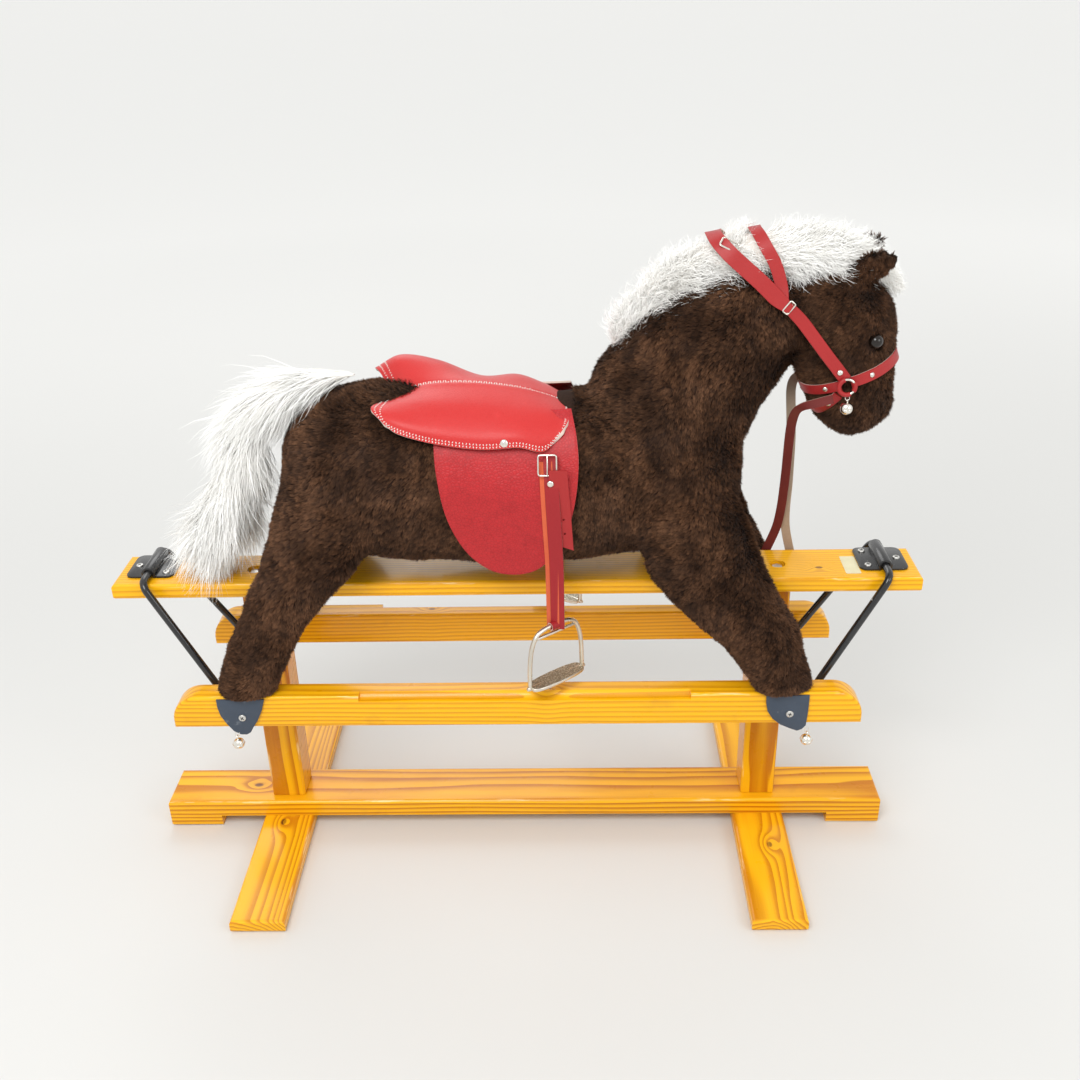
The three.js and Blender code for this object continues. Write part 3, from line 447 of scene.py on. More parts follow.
for side, name in ((-1, "right"), (1, "left")):
    runner = finish_piece(f"{name}_runner_bar", runner_bar(side))
    pockets = []
    for pin, stretch, bore in ((-runner_pin, 0, 0.0054), (runner_pin, 0.0076, 0.0061)):
        ring = [(pin + (stretch if abs(a) < 90 else 0) + bore * math.cos(math.radians(a)),
                 runner_pin_height + bore * math.sin(math.radians(a)))
                for a in range(-180, 180, 12)]
        inner = runner_outer - runner_thick
        reach = sorted((side * (inner - 0.004), side * (inner + 0.023)))
        pockets.append(cutter(ring, *reach))
    grip = bmesh.new()
    bmesh.ops.create_cone(grip, cap_ends=True, segments=48, radius1=grip_radius * 1.05,
                          radius2=grip_radius * 1.05, depth=grip_end - grip_start,
                          matrix=Matrix.Rotation(math.pi / 2, 4, "Y"))
    bmesh.ops.translate(grip, verts=grip.verts, vec=(
        (grip_start + grip_end) / 2, side * (runner_outer + 0.0010), runner_top + 0.0052))
    cut_from(runner, pockets + [grip])
    knots = (((0.042, side * 0.104, 0.007),) if side < 0 else ((-0.13, side * 0.104, 0.006),))
    low = Vector((-runner_long / 2, min(side * 0.0875, side * runner_outer), 0.238))
    high = Vector((runner_long / 2, max(side * 0.0875, side * runner_outer), 0.286))
    runner.data.materials.append(pine(
        f"{name}_runner_pine", "x", (side * 0.062, 0.205), knots, spacing=0.0052, drift=0.014,
        deep=0.8, box=(low, high), warm=-0.02))
    runner.data.polygons.foreach_set("use_smooth", [True] * len(runner.data.polygons))
    runner.data.set_sharp_from_angle(angle=math.radians(32))
    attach(runner, "horse")
    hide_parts(f"{name}_runner")

# ------------------------------------------------------------------ swing irons
# Each iron is one length of 10 mm steel rod bent into a wide U, over the beam at the top, with
# its feet turned outwards into the runners. It is dipped in gloss black, chipped here and there.
rod_radius, top_pin, top_pin_height, iron_reach = 0.005, 0.490, 0.4185, 0.052


def black_gloss(name):
    material, place, connect = new_finish(name, Specular_IOR_Level=0.5, Coat_Weight=0.25,
                                          Coat_Roughness=0.12)
    chip = place.noise(95, 3, 0.65).step(0.685, 0.70) * place.noise(17, 1).step(0.44, 0.58)
    dust = place.noise(30, 3, 0.6).step(0.45, 0.8) * 0.25
    connect("Base Color", chip.colour(dust.colour((0.011, 0.011, 0.012), (0.045, 0.044, 0.042)),
                                      (0.60, 0.59, 0.57)))
    connect("Roughness", dust * 1.1 + chip * 0.3 + 0.20)
    connect("Normal", (place.noise(160, 2) * 0.5 - chip * 0.6).bump(0.0004, 0.35))
    return material


def bent(corners, cut, steps=8):
    """Points along straight runs joined by smooth bends that start the given distance away."""
    out = [corners[0]]
    for before, corner, after in zip(corners, corners[1:], corners[2:]):
        start = corner + (before - corner).normalized() * cut
        end = corner + (after - corner).normalized() * cut
        for k in range(steps + 1):
            t = k / steps
            out.append(start * (1 - t) ** 2 + corner * 2 * t * (1 - t) + end * t * t)
    return out + [corners[-1]]


def tube(name, points, radius, around=5, closed=False):
    """A round rod or wire along points, as a mesh piece."""
    line = bpy.data.curves.new(name, "CURVE")
    line.dimensions, line.bevel_depth, line.bevel_resolution = "3D", radius, around
    line.use_fill_caps = not closed
    spline = line.splines.new("POLY")
    spline.points.add(len(points) - 1)
    for spot, point in zip(spline.points, points):
        spot.co = (*point, 1)
    spline.use_cyclic_u = closed
    carrier = bpy.data.objects.new(name + "_line", line)
    scene.collection.objects.link(carrier)
    bpy.context.view_layer.update()
    mesh = bpy.data.meshes.new_from_object(
        carrier.evaluated_get(bpy.context.evaluated_depsgraph_get()))
    bpy.data.objects.remove(carrier)
    mesh.name = name
    mesh.polygons.foreach_set("use_smooth", [True] * len(mesh.polygons))
    mesh.set_sharp_from_angle(angle=math.radians(50))
    piece = bpy.data.objects.new(name, mesh)
    scene.collection.objects.link(piece)
    return piece


iron_black = black_gloss("iron_black")
for end, name in ((-1, "rear"), (1, "front")):
    half = [Vector((end * runner_pin, 0.1085, runner_pin_height)),
            Vector((end * runner_pin, 0.0715, runner_pin_height)),
            Vector((end * top_pin, iron_reach, top_pin_height))]
    corners = half + [Vector((p.x, -p.y, p.z)) for p in reversed(half)]
    iron = tube(f"{name}_iron_rod", bent(corners, 0.015), rod_radius, around=6)
    iron.data.materials.append(iron_black)
    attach(iron, f"{name}_iron")
    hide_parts(f"{name}_swing_iron")

# ------------------------------------------------------------------ brackets
# A pressed steel plate with an arch over the rod, screwed to the beam with three zinc screws and
# painted with the irons. Its corners and edges are rounded.
beam_top, bracket_shift = 0.412, 0.008
plate_long, plate_wide, plate_thick, plate_corner = 0.064, 0.062, 0.0025, 0.010
arch_in, arch_out = 0.0054, 0.0090


def bracket_shape(middle):
    lift = top_pin_height - beam_top - 0.00035
    meet = math.asin((lift - plate_thick) / arch_out)
    outline = [(-plate_long / 2, 0), (-arch_in, 0)]
    outline += [(-arch_in * math.cos(a), lift + arch_in * math.sin(a))
                for a in np.linspace(0, math.pi, 17)]
    outline += [(arch_in, 0), (plate_long / 2, 0), (plate_long / 2, plate_thick)]
    outline += [(arch_out * math.cos(a), lift + arch_out * math.sin(a))
                for a in np.linspace(-meet, math.pi + meet, 23)]
    outline += [(-plate_long / 2, plate_thick)]
    shape = cutter(outline, -plate_wide / 2, plate_wide / 2)
    corners = [e for e in shape.edges if all(abs(v.co.x) > plate_long / 2 - 1e-5 for v in e.verts)
               and abs(e.verts[0].co.z - e.verts[1].co.z) > plate_thick / 2]
    bmesh.ops.bevel(shape, geom=corners, offset=plate_corner, segments=7, profile=0.5,
                    affect="EDGES", material=-1)
    rims = [e for e in shape.edges if len(e.link_faces) == 2
            and e.calc_face_angle(0) > 1.2 and e.verts[0].co.z > 0.001]
    bmesh.ops.bevel(shape, geom=rims, offset=0.0006, segments=2, profile=0.5, affect="EDGES",
                    material=-1, clamp_overlap=True)
    bmesh.ops.translate(shape, verts=shape.verts, vec=(middle, bracket_shift, beam_top + 0.00035))
    return shape


def bright_metal(name, colour, rough=0.22, wear=0.10):
    """Plated or turned metal, a little dulled by handling."""
    material, place, connect = new_finish(name, Metallic=1.0)
    haze = place.noise(120, 3, 0.6)
    dull = place.noise(35, 2, 0.6).step(0.45, 0.75) * 0.35
    connect("Base Color", dull.colour(colour, [c * 0.62 for c in colour]))
    connect("Roughness", haze * wear + dull * 0.3 + rough)
    connect("Normal", place.noise(520, 2).bump(0.00008, 0.25))
    return material


zinc = bright_metal("zinc_screws", (0.70, 0.69, 0.66), 0.32)
# Painted shade: a near-black finish for the screws' cross slots, which are not cut, standing in for the
# shade inside them.
slot_painted_shade, _, _ = new_finish("screw_slot_painted_shade", Roughness=0.6)
slot_painted_shade.node_tree.nodes["Principled BSDF"].inputs["Base Color"].default_value = (
    0.035, 0.034, 0.03, 1)


def screw_head(shape, place, facing, radius, height, turn=0.3):
    """A domed cross-head screw added to a shape, its head facing along facing."""
    stand = Matrix.Translation(place) @ Vector(facing).to_track_quat("Z", "Y").to_matrix().to_4x4()
    stand = stand @ Matrix.Rotation(turn, 4, "Z")
    made = bmesh.ops.create_cone(shape, cap_ends=True, segments=24, radius1=radius,
                                 radius2=radius, depth=height, matrix=stand
                                 @ Matrix.Translation((0, 0, height / 2)))
    top = stand @ Vector((0, 0, height))
    rim = [e for e in {e for v in made["verts"] for e in v.link_edges}
           if all((v.co - top).length < radius * 1.05 for v in e.verts)
           and len(e.link_faces) == 2 and e.calc_face_angle(0) > 1]
    bmesh.ops.bevel(shape, geom=rim, offset=height * 0.62, segments=4, profile=0.5,
                    affect="EDGES", material=-1)
    # Each arm of the cross slot is a thin near-black bar laid on the head, not a cut: painted shade.
    for arm in (0, math.pi / 2):
        slot = bmesh.ops.create_cube(shape, size=1, matrix=stand @ Matrix.Rotation(arm, 4, "Z")
                                     @ Matrix.Translation((0, 0, height))
                                     @ Matrix.Diagonal((radius * 1.05, radius * 0.22, 0.0003, 1)))
        for face in {f for v in slot["verts"] for f in v.link_faces}:
            face.material_index = 1


bracket_black = black_gloss("bracket_black")
for end, name in ((-1, "rear"), (1, "front")):
    plate = finish_piece(f"{name}_bracket_plate", bracket_shape(end * top_pin), bracket_black,
                         smooth=35)
    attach(plate, "stand")
    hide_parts(f"{name}_bracket")
    screws = bmesh.new()
    for x, y, turn in ((-0.0205, -0.020, 0.3), (-0.0205, 0.020, 1.1), (0.0215, 0.0, 0.7)):
        screw_head(screws, (end * (top_pin + x), bracket_shift + y, beam_top + 0.0028),
                   (0, 0, 1), 0.0047, 0.0022, turn)
    heads = finish_piece(f"{name}_bracket_screws", screws, zinc, smooth=40)
    heads.data.materials.append(slot_painted_shade)
    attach(heads, "stand")

# ------------------------------------------------------------------ post bolts
# A zinc hexagon bolt and washer hold the beam to each post, sunk in a counterbore.
bolt_place = 0.352
for end, name in ((-1, "rear"), (1, "front")):
    bolt = bmesh.new()
    floor_height = beam_top - 0.009 + 0.00035
    for sides, wide, low, high, soft in ((40, 0.0095, 0, 0.0015, 0.0004),
                                         (6, 0.0075, 0.0014, 0.0054, 0.0009)):
        made = bmesh.ops.create_cone(
            bolt, cap_ends=True, segments=sides, radius1=wide, radius2=wide, depth=high - low,
            matrix=Matrix.Translation((end * bolt_place, 0, floor_height + (low + high) / 2)))
        rim = [e for e in {e for v in made["verts"] for e in v.link_edges}
               if all(v.co.z > floor_height + high - 1e-6 for v in e.verts)]
        bmesh.ops.bevel(bolt, geom=rim, offset=soft, segments=3, profile=0.5, affect="EDGES",
                        material=-1)
    bmesh.ops.create_cone(
        bolt, cap_ends=True, segments=20, radius1=0.004, radius2=0.004, depth=0.051,
        matrix=Matrix.Translation((end * bolt_place, 0, floor_height - 0.0245)))
    piece = finish_piece(f"{name}_bolt_and_washer", bolt, zinc, smooth=35)
    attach(piece, "stand")
    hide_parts(f"{name}_post_bolt")

# ------------------------------------------------------------------ plush body
# Panels of short dense brown pile sewn over a stuffed body, neck, head and legs that run into one
# another. The pile is about 9 mm deep and lies back and down, brushed this way and that.
pile_dark, pile_light = (0.011, 0.0045, 0.0025), (0.225, 0.105, 0.052)
torso_rows = ((-296, 303, 233, 34), (-281, 338, 193, 70), (-245, 375, 168, 97),
              (-190, 394, 158, 106), (-120, 392, 151, 104), (-40, 378, 147, 99),
              (40, 374, 147, 97), (110, 380, 151, 97), (180, 381, 159, 95), (235, 368, 173, 87),
              (274, 345, 198, 69), (294, 313, 233, 36))
torso = [((x, 0, (top + bottom) / 2), 0, (top - bottom) / 2, half)
         for x, top, bottom, half in torso_rows]
neck = [((178, 0, 300), 1.05, 112, 84), ((208, 0, 371), 1.0, 106, 72), ((238, 0, 414), 0.95, 99, 62),
        ((272, 0, 450), 0.85, 88, 56), ((310, 0, 476), 0.65, 70, 52), ((350, 0, 492), 0.4, 45, 44)]
head_lean = math.radians(-74)
head = [((400 + run * math.cos(head_lean), 0, 465 + run * math.sin(head_lean)), head_lean, deep,
         half) for run, deep, half in ((-66, 22, 18), (-56, 44, 36), (-34, 62, 50), (0, 70, 57),
                                       (36, 66, 54), (70, 59, 49), (102, 54, 47), (132, 47, 42),
                                       (150, 27, 25))]
hip_side, runner_middle = 50, 104
leg_rows = {
    "rear": ((-222, 290, 70, 44, 0.05), (-233, 214, 74, 47, 0.28), (-262, 163, 66, 41, 0.6),
             (-304, 115, 47, 39, 0.84), (-334, 54, 43, 36, 0.96), (-350, 4, 42, 33, 1),
             (-353, -8, 34, 26, 1)),
    "front": ((222, 270, 66, 38, 0.12), (232, 200, 74, 41, 0.36), (252, 150, 78, 39, 0.68),
              (298, 98, 60, 38, 0.9), (338, 38, 46, 36, 0.97), (352, 4, 42, 33, 1),
              (353, -8, 34, 26, 1))}
legs = [[((x, side * (hip_side + (runner_middle - hip_side) * spread), z), -math.pi / 2, deep, half)
         for x, z, deep, half, spread in rows] for rows in leg_rows.values() for side in (-1, 1)]
ears = [[((402, side * 34, 524), 0.30, 12, 7), ((418, side * 36, 531), 0.30, 21, 10),
         ((436, side * 38, 538), 0.35, 20, 9), ((453, side * 39, 544), 0.40, 13, 7),
         ((460, side * 40, 547), 0.40, 4, 4)] for side in (-1, 1)]


def stuffed_limb(sections, around=28):
    """A closed skin over oval sections: middle, way it runs in the X-Z plane, depth, half width."""
    shape = bmesh.new()
    rings = []
    for middle, travel, deep, half in sections:
        ring = bmesh.ops.create_circle(shape, segments=around, radius=1, cap_ends=False)
        run, up = (math.cos(travel), math.sin(travel)), (-math.sin(travel), math.cos(travel))
        frame_of_ring = Matrix(((0, up[0] * deep, run[0], middle[0]), (half, 0, 0, middle[1]),
                                (0, up[1] * deep, run[1], middle[2]), (0, 0, 0, 1)))
        scale = Matrix.Translation((0, 0, runner_top)) @ Matrix.Diagonal((1e-3, 1e-3, 1e-3, 1))
        bmesh.ops.transform(shape, matrix=scale @ frame_of_ring, verts=ring["verts"])
        rings.append(list({e for v in ring["verts"] for e in v.link_edges}))
    for a, b in zip(rings, rings[1:]):
        bmesh.ops.bridge_loops(shape, edges=a + b)
    for end in (rings[0], rings[-1]):
        cap = bmesh.ops.contextual_create(shape, geom=end)["faces"]
        bmesh.ops.poke(shape, faces=cap)
    bmesh.ops.recalc_face_normals(shape, faces=shape.faces)
    return shape


def sewn_together(name, limbs, voxel, rounds):
    """Joins limbs into one skin and softens the joins, as stuffing does."""
    whole = bmesh.new()
    for sections in limbs:
        part = finish_piece("limb", stuffed_limb(sections))
        soft = part.modifiers.new("round", "SUBSURF")
        soft.levels = soft.render_levels = 2
        settle(part)
        whole.from_mesh(part.data)
        bpy.data.objects.remove(part)
    skin = finish_piece(name, whole)
    remesh = skin.modifiers.new("join", "REMESH")
    remesh.mode, remesh.voxel_size = "VOXEL", voxel
    ease = skin.modifiers.new("ease", "SMOOTH")
    ease.factor, ease.iterations = 0.5, rounds
    settle(skin)
    return skin


def ripple(spots, waves, seed):
    """Smooth variation over space, about -1 to 1: waves is how many metres one wave takes."""
    dice = np.random.default_rng(seed)
    total = np.zeros(len(spots))
    for _ in range(9):
        way = dice.normal(size=3)
        way *= 2 * math.pi / (waves * dice.uniform(0.7, 1.5) * np.linalg.norm(way))
        total += np.sin(spots @ way + dice.uniform(0, 6.3))
    return total / 3


plush = sewn_together("plush_body", [torso, neck, head, *legs, *ears], 0.0055, 7)
spots = np.empty(len(plush.data.vertices) * 3)
plush.data.vertices.foreach_get("co", spots)
spots = spots.reshape(-1, 3)
bearings = np.empty(len(spots) * 3)
plush.data.vertices.foreach_get("normal", bearings)
bearings = bearings.reshape(-1, 3)
lumps = ripple(spots, 0.11, 5) * 0.0016 + ripple(spots, 0.05, 6) * 0.0007 - 0.0045
belly = np.exp(-((spots[:, 2] - 0.462) / 0.024) ** 2) * (np.abs(spots[:, 0]) < 0.24)
spots[:, 1] *= 1 + 0.16 * belly * np.clip(1.3 - np.abs(spots[:, 0]) / 0.2, 0, 1)
shaped = spots + bearings * lumps[:, None]
shaped[:, 2] = np.maximum(shaped[:, 2], runner_top + 0.0006)
plush.data.vertices.foreach_set("co", shaped.ravel())
plush.data.polygons.foreach_set("use_smooth", [True] * len(plush.data.polygons))
plush.data.update()

backing, place, connect = new_finish("plush_backing", Specular_IOR_Level=0.15, Roughness=0.95)
weave = place.noise(420, 2)
connect("Base Color", weave.colour((0.010, 0.005, 0.003), (0.045, 0.022, 0.014)))
connect("Normal", weave.bump(0.0008, 0.8))
plush.data.materials.append(backing)
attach(plush, "horse")
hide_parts("torso", "neck", "head", "rear_right_leg", "rear_left_leg", "front_right_leg",
            "front_left_leg", "right_ear", "left_ear", "spine_board", "neck_board",
            *(node for node in frame["nodes"] if node.endswith("leg_slat")))


def scatter(mesh, count, seed, keep):
    """Evenly spread points on a mesh where keep, given face middles, says so; with bearings."""
    mesh.calc_loop_triangles()
    corners = np.empty(len(mesh.loop_triangles) * 3, int)
    mesh.loop_triangles.foreach_get("vertices", corners)
    corners = corners.reshape(-1, 3)
    spots = np.empty(len(mesh.vertices) * 3)
    mesh.vertices.foreach_get("co", spots)
    spots = spots.reshape(-1, 3)
    facing = np.empty(len(mesh.vertices) * 3)
    mesh.vertices.foreach_get("normal", facing)
    facing = facing.reshape(-1, 3)
    a, b, c = (spots[corners[:, k]] for k in range(3))
    area = np.linalg.norm(np.cross(b - a, c - a), axis=1) / 2
    weight = area * keep((a + b + c) / 3)
    dice = np.random.default_rng(seed)
    chosen = dice.choice(len(weight), count, p=weight / weight.sum())
    u, v = dice.random((2, count))
    root = np.sqrt(u)
    mix = np.stack([1 - root, root * (1 - v), root * v], 1)
    point = (spots[corners[chosen]] * mix[:, :, None]).sum(1)
    bearing = (facing[corners[chosen]] * mix[:, :, None]).sum(1)
    return point, bearing / np.linalg.norm(bearing, axis=1)[:, None], dice


def unit(vectors):
    return vectors / np.maximum(np.linalg.norm(vectors, axis=-1, keepdims=True), 1e-9)


def hair_mesh(name, corners, faces, tone, material):
    """A mesh of loose hairs: corners and faces per hair, and a tone from root to tip at each
    corner. Each hair has its own cell in the bake map."""
    hairs, per_hair = corners.shape[:2]
    sides = faces.shape[1]
    mesh = bpy.data.meshes.new(name)
    mesh.vertices.add(hairs * per_hair)
    mesh.vertices.foreach_set("co", corners.ravel())
    index = (np.arange(hairs)[:, None, None] * per_hair + faces[None]).reshape(-1)
    count = hairs * len(faces)
    mesh.loops.add(count * sides)
    mesh.loops.foreach_set("vertex_index", index.astype(np.int32))
    mesh.polygons.add(count)
    mesh.polygons.foreach_set("loop_start", np.arange(count, dtype=np.int32) * sides)
    mesh.polygons.foreach_set("use_smooth", np.ones(count, bool))
    mesh.update(calc_edges=True)
    pile = mesh.attributes.new("pile_tone", "FLOAT", "POINT")
    pile.data.foreach_set("value", tone.astype(np.float32).ravel())
    cells = math.ceil(math.sqrt(hairs))
    column, row = np.arange(hairs) % cells, np.arange(hairs) // cells
    spread = np.zeros((per_hair, 2))
    spread[:, 0] = np.where(np.arange(per_hair) % 2, 0.85, 0.15)
    spread[:, 1] = 0.12 + 0.76 * (np.arange(per_hair) // 2) / max(1, (per_hair - 1) // 2)
    flat = (np.stack([column, row], 1)[:, None, :] + spread[None]) / cells
    layer = mesh.uv_layers.new(name="OFBake")
    layer.data.foreach_set("uv", flat.reshape(-1, 2)[index].astype(np.float32).ravel())
    mesh.materials.append(material)
    piece = bpy.data.objects.new(name, mesh)
    scene.collection.objects.link(piece)
    return piece


def pile_finish(name, root, tip, sheen):
    material, place, connect = new_finish(name, Roughness=0.66, Specular_IOR_Level=0.18,
                                          Sheen_Weight=sheen, Sheen_Roughness=0.35)
    tone = place.node("Attribute", {"attribute_name": "pile_tone"}, {}, out="Fac")
    fleck = place.noise(260, 2)
    # Random darker and lighter patches over the pile: partly the pile's own tone, partly painted shade,
    # their contrast raised to stand for shaded parts such as the chest.
    brushed_tone_and_shade = place.noise(15, 3, 0.6).step(0.36, 0.64) * 0.62 + 0.40
    connect("Base Color", (tone * brushed_tone_and_shade * (fleck * 0.5 + 0.75)).colour(root, tip))
    return material


brown_pile = pile_finish("brown_pile", pile_dark, pile_light, 0.06)


def brushed_way(point, seed):
    """Which way the pile lies: back and down, with soft swirls."""
    lie = np.stack([-0.75 + 0.55 * ripple(point, 0.13, seed), 0.35 * ripple(point, 0.11, seed + 1),
                    -0.75 + 0.45 * ripple(point, 0.12, seed + 2)], 1)
    return lie


def brown_patch(name, count, seed, keep):
    point, bearing, dice = scatter(plush.data, count, seed, keep)
    tufts = count // int(16 * many)
    tree = KDTree(tufts)
    for i in range(tufts):
        tree.insert(point[i], i)
    tree.balance()
    tuft = np.array([tree.find(p)[1] for p in point])
    lie = unit(brushed_way(point, 40))
    lie -= bearing * (lie * bearing).sum(1)[:, None]
    stand = 0.62 + 0.22 * ripple(point, 0.045, 77)
    way = unit(bearing * stand[:, None] + lie * 0.75 + dice.normal(size=point.shape) * 0.20)
    long = 0.0098 * dice.uniform(0.72, 1.15, count) * (1 + 0.10 * ripple(point, 0.03, 9))
    across = unit(np.cross(way, bearing) + dice.normal(size=point.shape) * 0.25)
    wide = dice.uniform(0.00075, 0.00115, count)[:, None]
    root = point - bearing * 0.0012
    tip = root + way * long[:, None] - bearing * (0.08 * long)[:, None]
    tip += (tip[tuft] - tip) * 0.44
    tip[:, 2] = np.maximum(tip[:, 2], runner_top + 0.0007)
    corners = np.stack([root + across * wide, root - across * wide, tip], 1)
    soft = np.clip(0.52 + 0.16 * ripple(point, 0.017, 15) + dice.normal(size=count)[tuft] * 0.20
                   + dice.normal(size=count) * 0.12, 0.05, 1)
    tone = np.stack([soft * 0.03, soft * 0.03, 0.15 + soft * 0.95], 1)
    patch = hair_mesh(name, corners, np.array([[0, 1, 2]]), tone, brown_pile)
    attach(patch, "horse")


def between(values, low, high):
    return (values >= low) & (values < high)


def bare_under_saddle_and_shadow_strip(m):
    high = m[:, 2]
    behind = np.interp(high, (0.470, 0.492, 0.534, 0.587), (-0.025, -0.045, -0.066, -0.079))
    # Painted shadow: the pile is cleared a few millimetres beyond the flap's front edge, so the
    # near-black backing shows there as a dark strip standing in for the flap's shadow.
    ahead = np.interp(high, (0.470, 0.480, 0.520, 0.560), (0.046, 0.055, 0.077, 0.086))
    flap = (m[:, 0] > behind) & (m[:, 0] < ahead) & (high > 0.470)
    return flap | (between(m[:, 0], -0.112, 0.06) & (high > 0.640))


is_head = lambda m: (m[:, 0] > 0.338) & (m[:, 2] > 0.58)
by_eye = lambda m: np.linalg.norm(np.stack([m[:, 0], np.abs(m[:, 1]), m[:, 2]], 1)
                                  - (0.438, 0.0435, 0.732), axis=1) < 0.0125
is_neck = lambda m: ~is_head(m) & (m[:, 2] > 0.595) & (m[:, 0] > 0.10)
is_leg = lambda m: m[:, 2] < 0.425
many = 1
for name, count, keep in (
        ("rump_pile", 185000, lambda m: (m[:, 0] < -0.10) & ~is_leg(m)),
        ("flank_pile", 120000, lambda m: between(m[:, 0], -0.10, 0.12) & ~is_leg(m)
         & ~is_neck(m) & ~bare_under_saddle_and_shadow_strip(m)),
        ("shoulder_pile", 160000, lambda m: (m[:, 0] >= 0.12) & ~is_leg(m) & ~is_neck(m)
         & ~is_head(m)),
        ("neck_pile", 135000, is_neck),
        ("head_pile", 190000, lambda m: is_head(m) & ~by_eye(m)),
        ("rear_leg_pile", 150000, lambda m: is_leg(m) & (m[:, 0] < -0.10)),
        ("front_leg_pile", 150000, lambda m: is_leg(m) & (m[:, 0] >= 0.10))):
    brown_patch(name, int(count * many), len(name) * 7 + 3, keep)

# ------------------------------------------------------------------ mane and tail
# Long silky off-white pile: the mane is sewn down the crest and combed over the brow, and the
# tail is a full switch that arches from the dock and hangs. Loose ends curl at the edges.
mane = [((128, 8, 420), 1.0, 6, 10), ((150, 10, 449), 0.95, 22, 24), ((190, 12, 495), 0.75, 30, 32),
        ((240, 12, 526), 0.4, 30, 36), ((300, 10, 541), 0.15, 30, 38), ((360, 6, 543), 0.0, 32, 38),
        ((412, 2, 534), -0.3, 26, 30), ((448, 0, 516), -0.75, 20, 22), ((468, 0, 498), -1.0, 8, 10)]
tail = [((-186, 0, 399), math.pi, 5, 9), ((-230, 0, 399), math.pi, 12, 16),
        ((-280, 0, 388), math.pi + 0.3, 20, 24), ((-322, 0, 358), math.pi + 0.9, 26, 32),
        ((-342, 0, 310), math.pi + 1.25, 28, 38), ((-358, 0, 250), math.pi + 1.2, 30, 42),
        ((-385, 0, 200), math.pi + 1.0, 32, 40), ((-404, 0, 172), math.pi + 0.9, 20, 24)]
white_core, place, connect = new_finish("white_pile_core", Roughness=0.85,
                                        Specular_IOR_Level=0.2)
streak = place.noise(170, 3, 0.6, 0.6)
connect("Base Color", streak.colour((0.74, 0.70, 0.63), (0.94, 0.93, 0.90)))
connect("Normal", streak.bump(0.0022, 0.8))
white_pile = pile_finish("white_pile_hair", (0.93, 0.915, 0.88), (1.0, 1.0, 0.985), 0.5)


strap_tracks = np.array([
    np.array(start) * (1 - t) + np.array(end) * t for rows in (
        ((323, 42, 799), (314, 34, 821), (303, 27, 838), (296, 15, 848), (294, 0, 852)),
        ((327, 50, 779), (316, 48, 788), (297, 41, 803), (278, 36, 818), (262, 30, 832),
         (250, 20, 843), (246, 0, 848)))
    for start, end in zip(rows, rows[1:]) for t in np.linspace(0, 1, 5)]) / 1000
strap_tracks = np.concatenate([strap_tracks, strap_tracks * (1, -1, 1)])


def lock_of(piece, path, count, long, lift, curl, seed, name, droop, clear):
    """Long hairs grown from a core, combed along a path, each a tapered strip of four quads."""
    point, bearing, dice = scatter(piece.data, count, seed, lambda m: np.ones(len(m)))
    track = np.array([(x, y, z) for (x, y, z), *_ in path]) / 1000 + (0, 0, runner_top)
    gap = np.linalg.norm(point[:, None] - track[None], axis=2).argmin(1)
    heading = unit(track[np.minimum(gap + 1, len(track) - 1)] - track[np.maximum(gap - 1, 0)])
    sway = np.stack([ripple(point, 0.05, seed + k) for k in range(3)], 1) * 0.30
    way = heading + bearing * lift + sway + dice.normal(size=point.shape) * 0.16
    way = unit(way + np.array((0, 0, -droop)))
    reach = long * dice.uniform(0.55, 1.15, count) * np.where(point[:, 0] > 0.425, 0.45, 1)
    across = unit(np.cross(way, bearing) + dice.normal(size=point.shape) * 0.4)
    wide = dice.uniform(0.00035, 0.00062, count)
    steps = 5
    spine, at = [], point - bearing * 0.001
    turn = dice.uniform(0, 6.3, count)
    swing = unit(np.cross(way, across))
    for k in range(steps):
        share = k / (steps - 1)
        spine.append(at)
        bend = (np.sin(turn + share * 4.5)[:, None] * across + np.cos(turn + share * 3.7)[:, None]
                * swing) * curl
        sag = np.array((0, 0, -1)) * (droop * share * 1.2)
        at = at + unit(way + bend * (0.35 + share) + sag) * (reach / (steps - 1))[:, None]
    spine = np.stack(spine)
    off = np.linalg.norm(spine[:, :, None] - clear[None, None], axis=3).min((0, 2)) > 0.0095
    spine, across, wide, count = spine[:, off], across[off], wide[off], int(off.sum())
    rails = []
    for k, middle in enumerate(spine):
        taper = (1 - (k / (steps - 1)) ** 1.6) * 0.9 + 0.10
        rails += [middle + across * (wide * taper)[:, None], middle - across * (wide * taper)[:, None]]
    corners = np.stack(rails, 1)
    corners[:, :, 2] = np.maximum(corners[:, :, 2], 0.36)
    faces = np.array([[2 * k, 2 * k + 1, 2 * k + 3, 2 * k + 2] for k in range(steps - 1)])
    tone = np.repeat(np.linspace(0.35, 1, steps), 2)[None] * dice.uniform(0.75, 1.1, count)[:, None]
    hair = hair_mesh(name, corners, faces, np.clip(tone, 0, 1.2), white_pile)
    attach(hair, "horse")
    return hair


for name, path, count, long, lift, curl, droop in (
        ("mane", mane, 24000, 0.031, 0.85, 0.85, 0.30), ("tail", tail, 24000, 0.078, 0.12, 0.30, 0.22)):
    core = sewn_together(f"{name}_core", [[(m, t, d * 0.80, h * 0.80) for m, t, d, h in path]],
                         0.005, 3)
    spots = np.empty(len(core.data.vertices) * 3)
    core.data.vertices.foreach_get("co", spots)
    spots = spots.reshape(-1, 3)
    facing = np.empty(len(spots) * 3)
    core.data.vertices.foreach_get("normal", facing)
    spots += facing.reshape(-1, 3) * (ripple(spots, 0.03, 3) * 0.0022)[:, None]
    core.data.vertices.foreach_set("co", spots.ravel())
    core.data.polygons.foreach_set("use_smooth", [True] * len(core.data.polygons))
    core.data.update()
    core.data.materials.append(white_core)
    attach(core, "horse")
    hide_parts(name)
    lock_of(core, path, int(count * many), long, lift, curl, 21, f"{name}_hair", droop,
            strap_tracks)

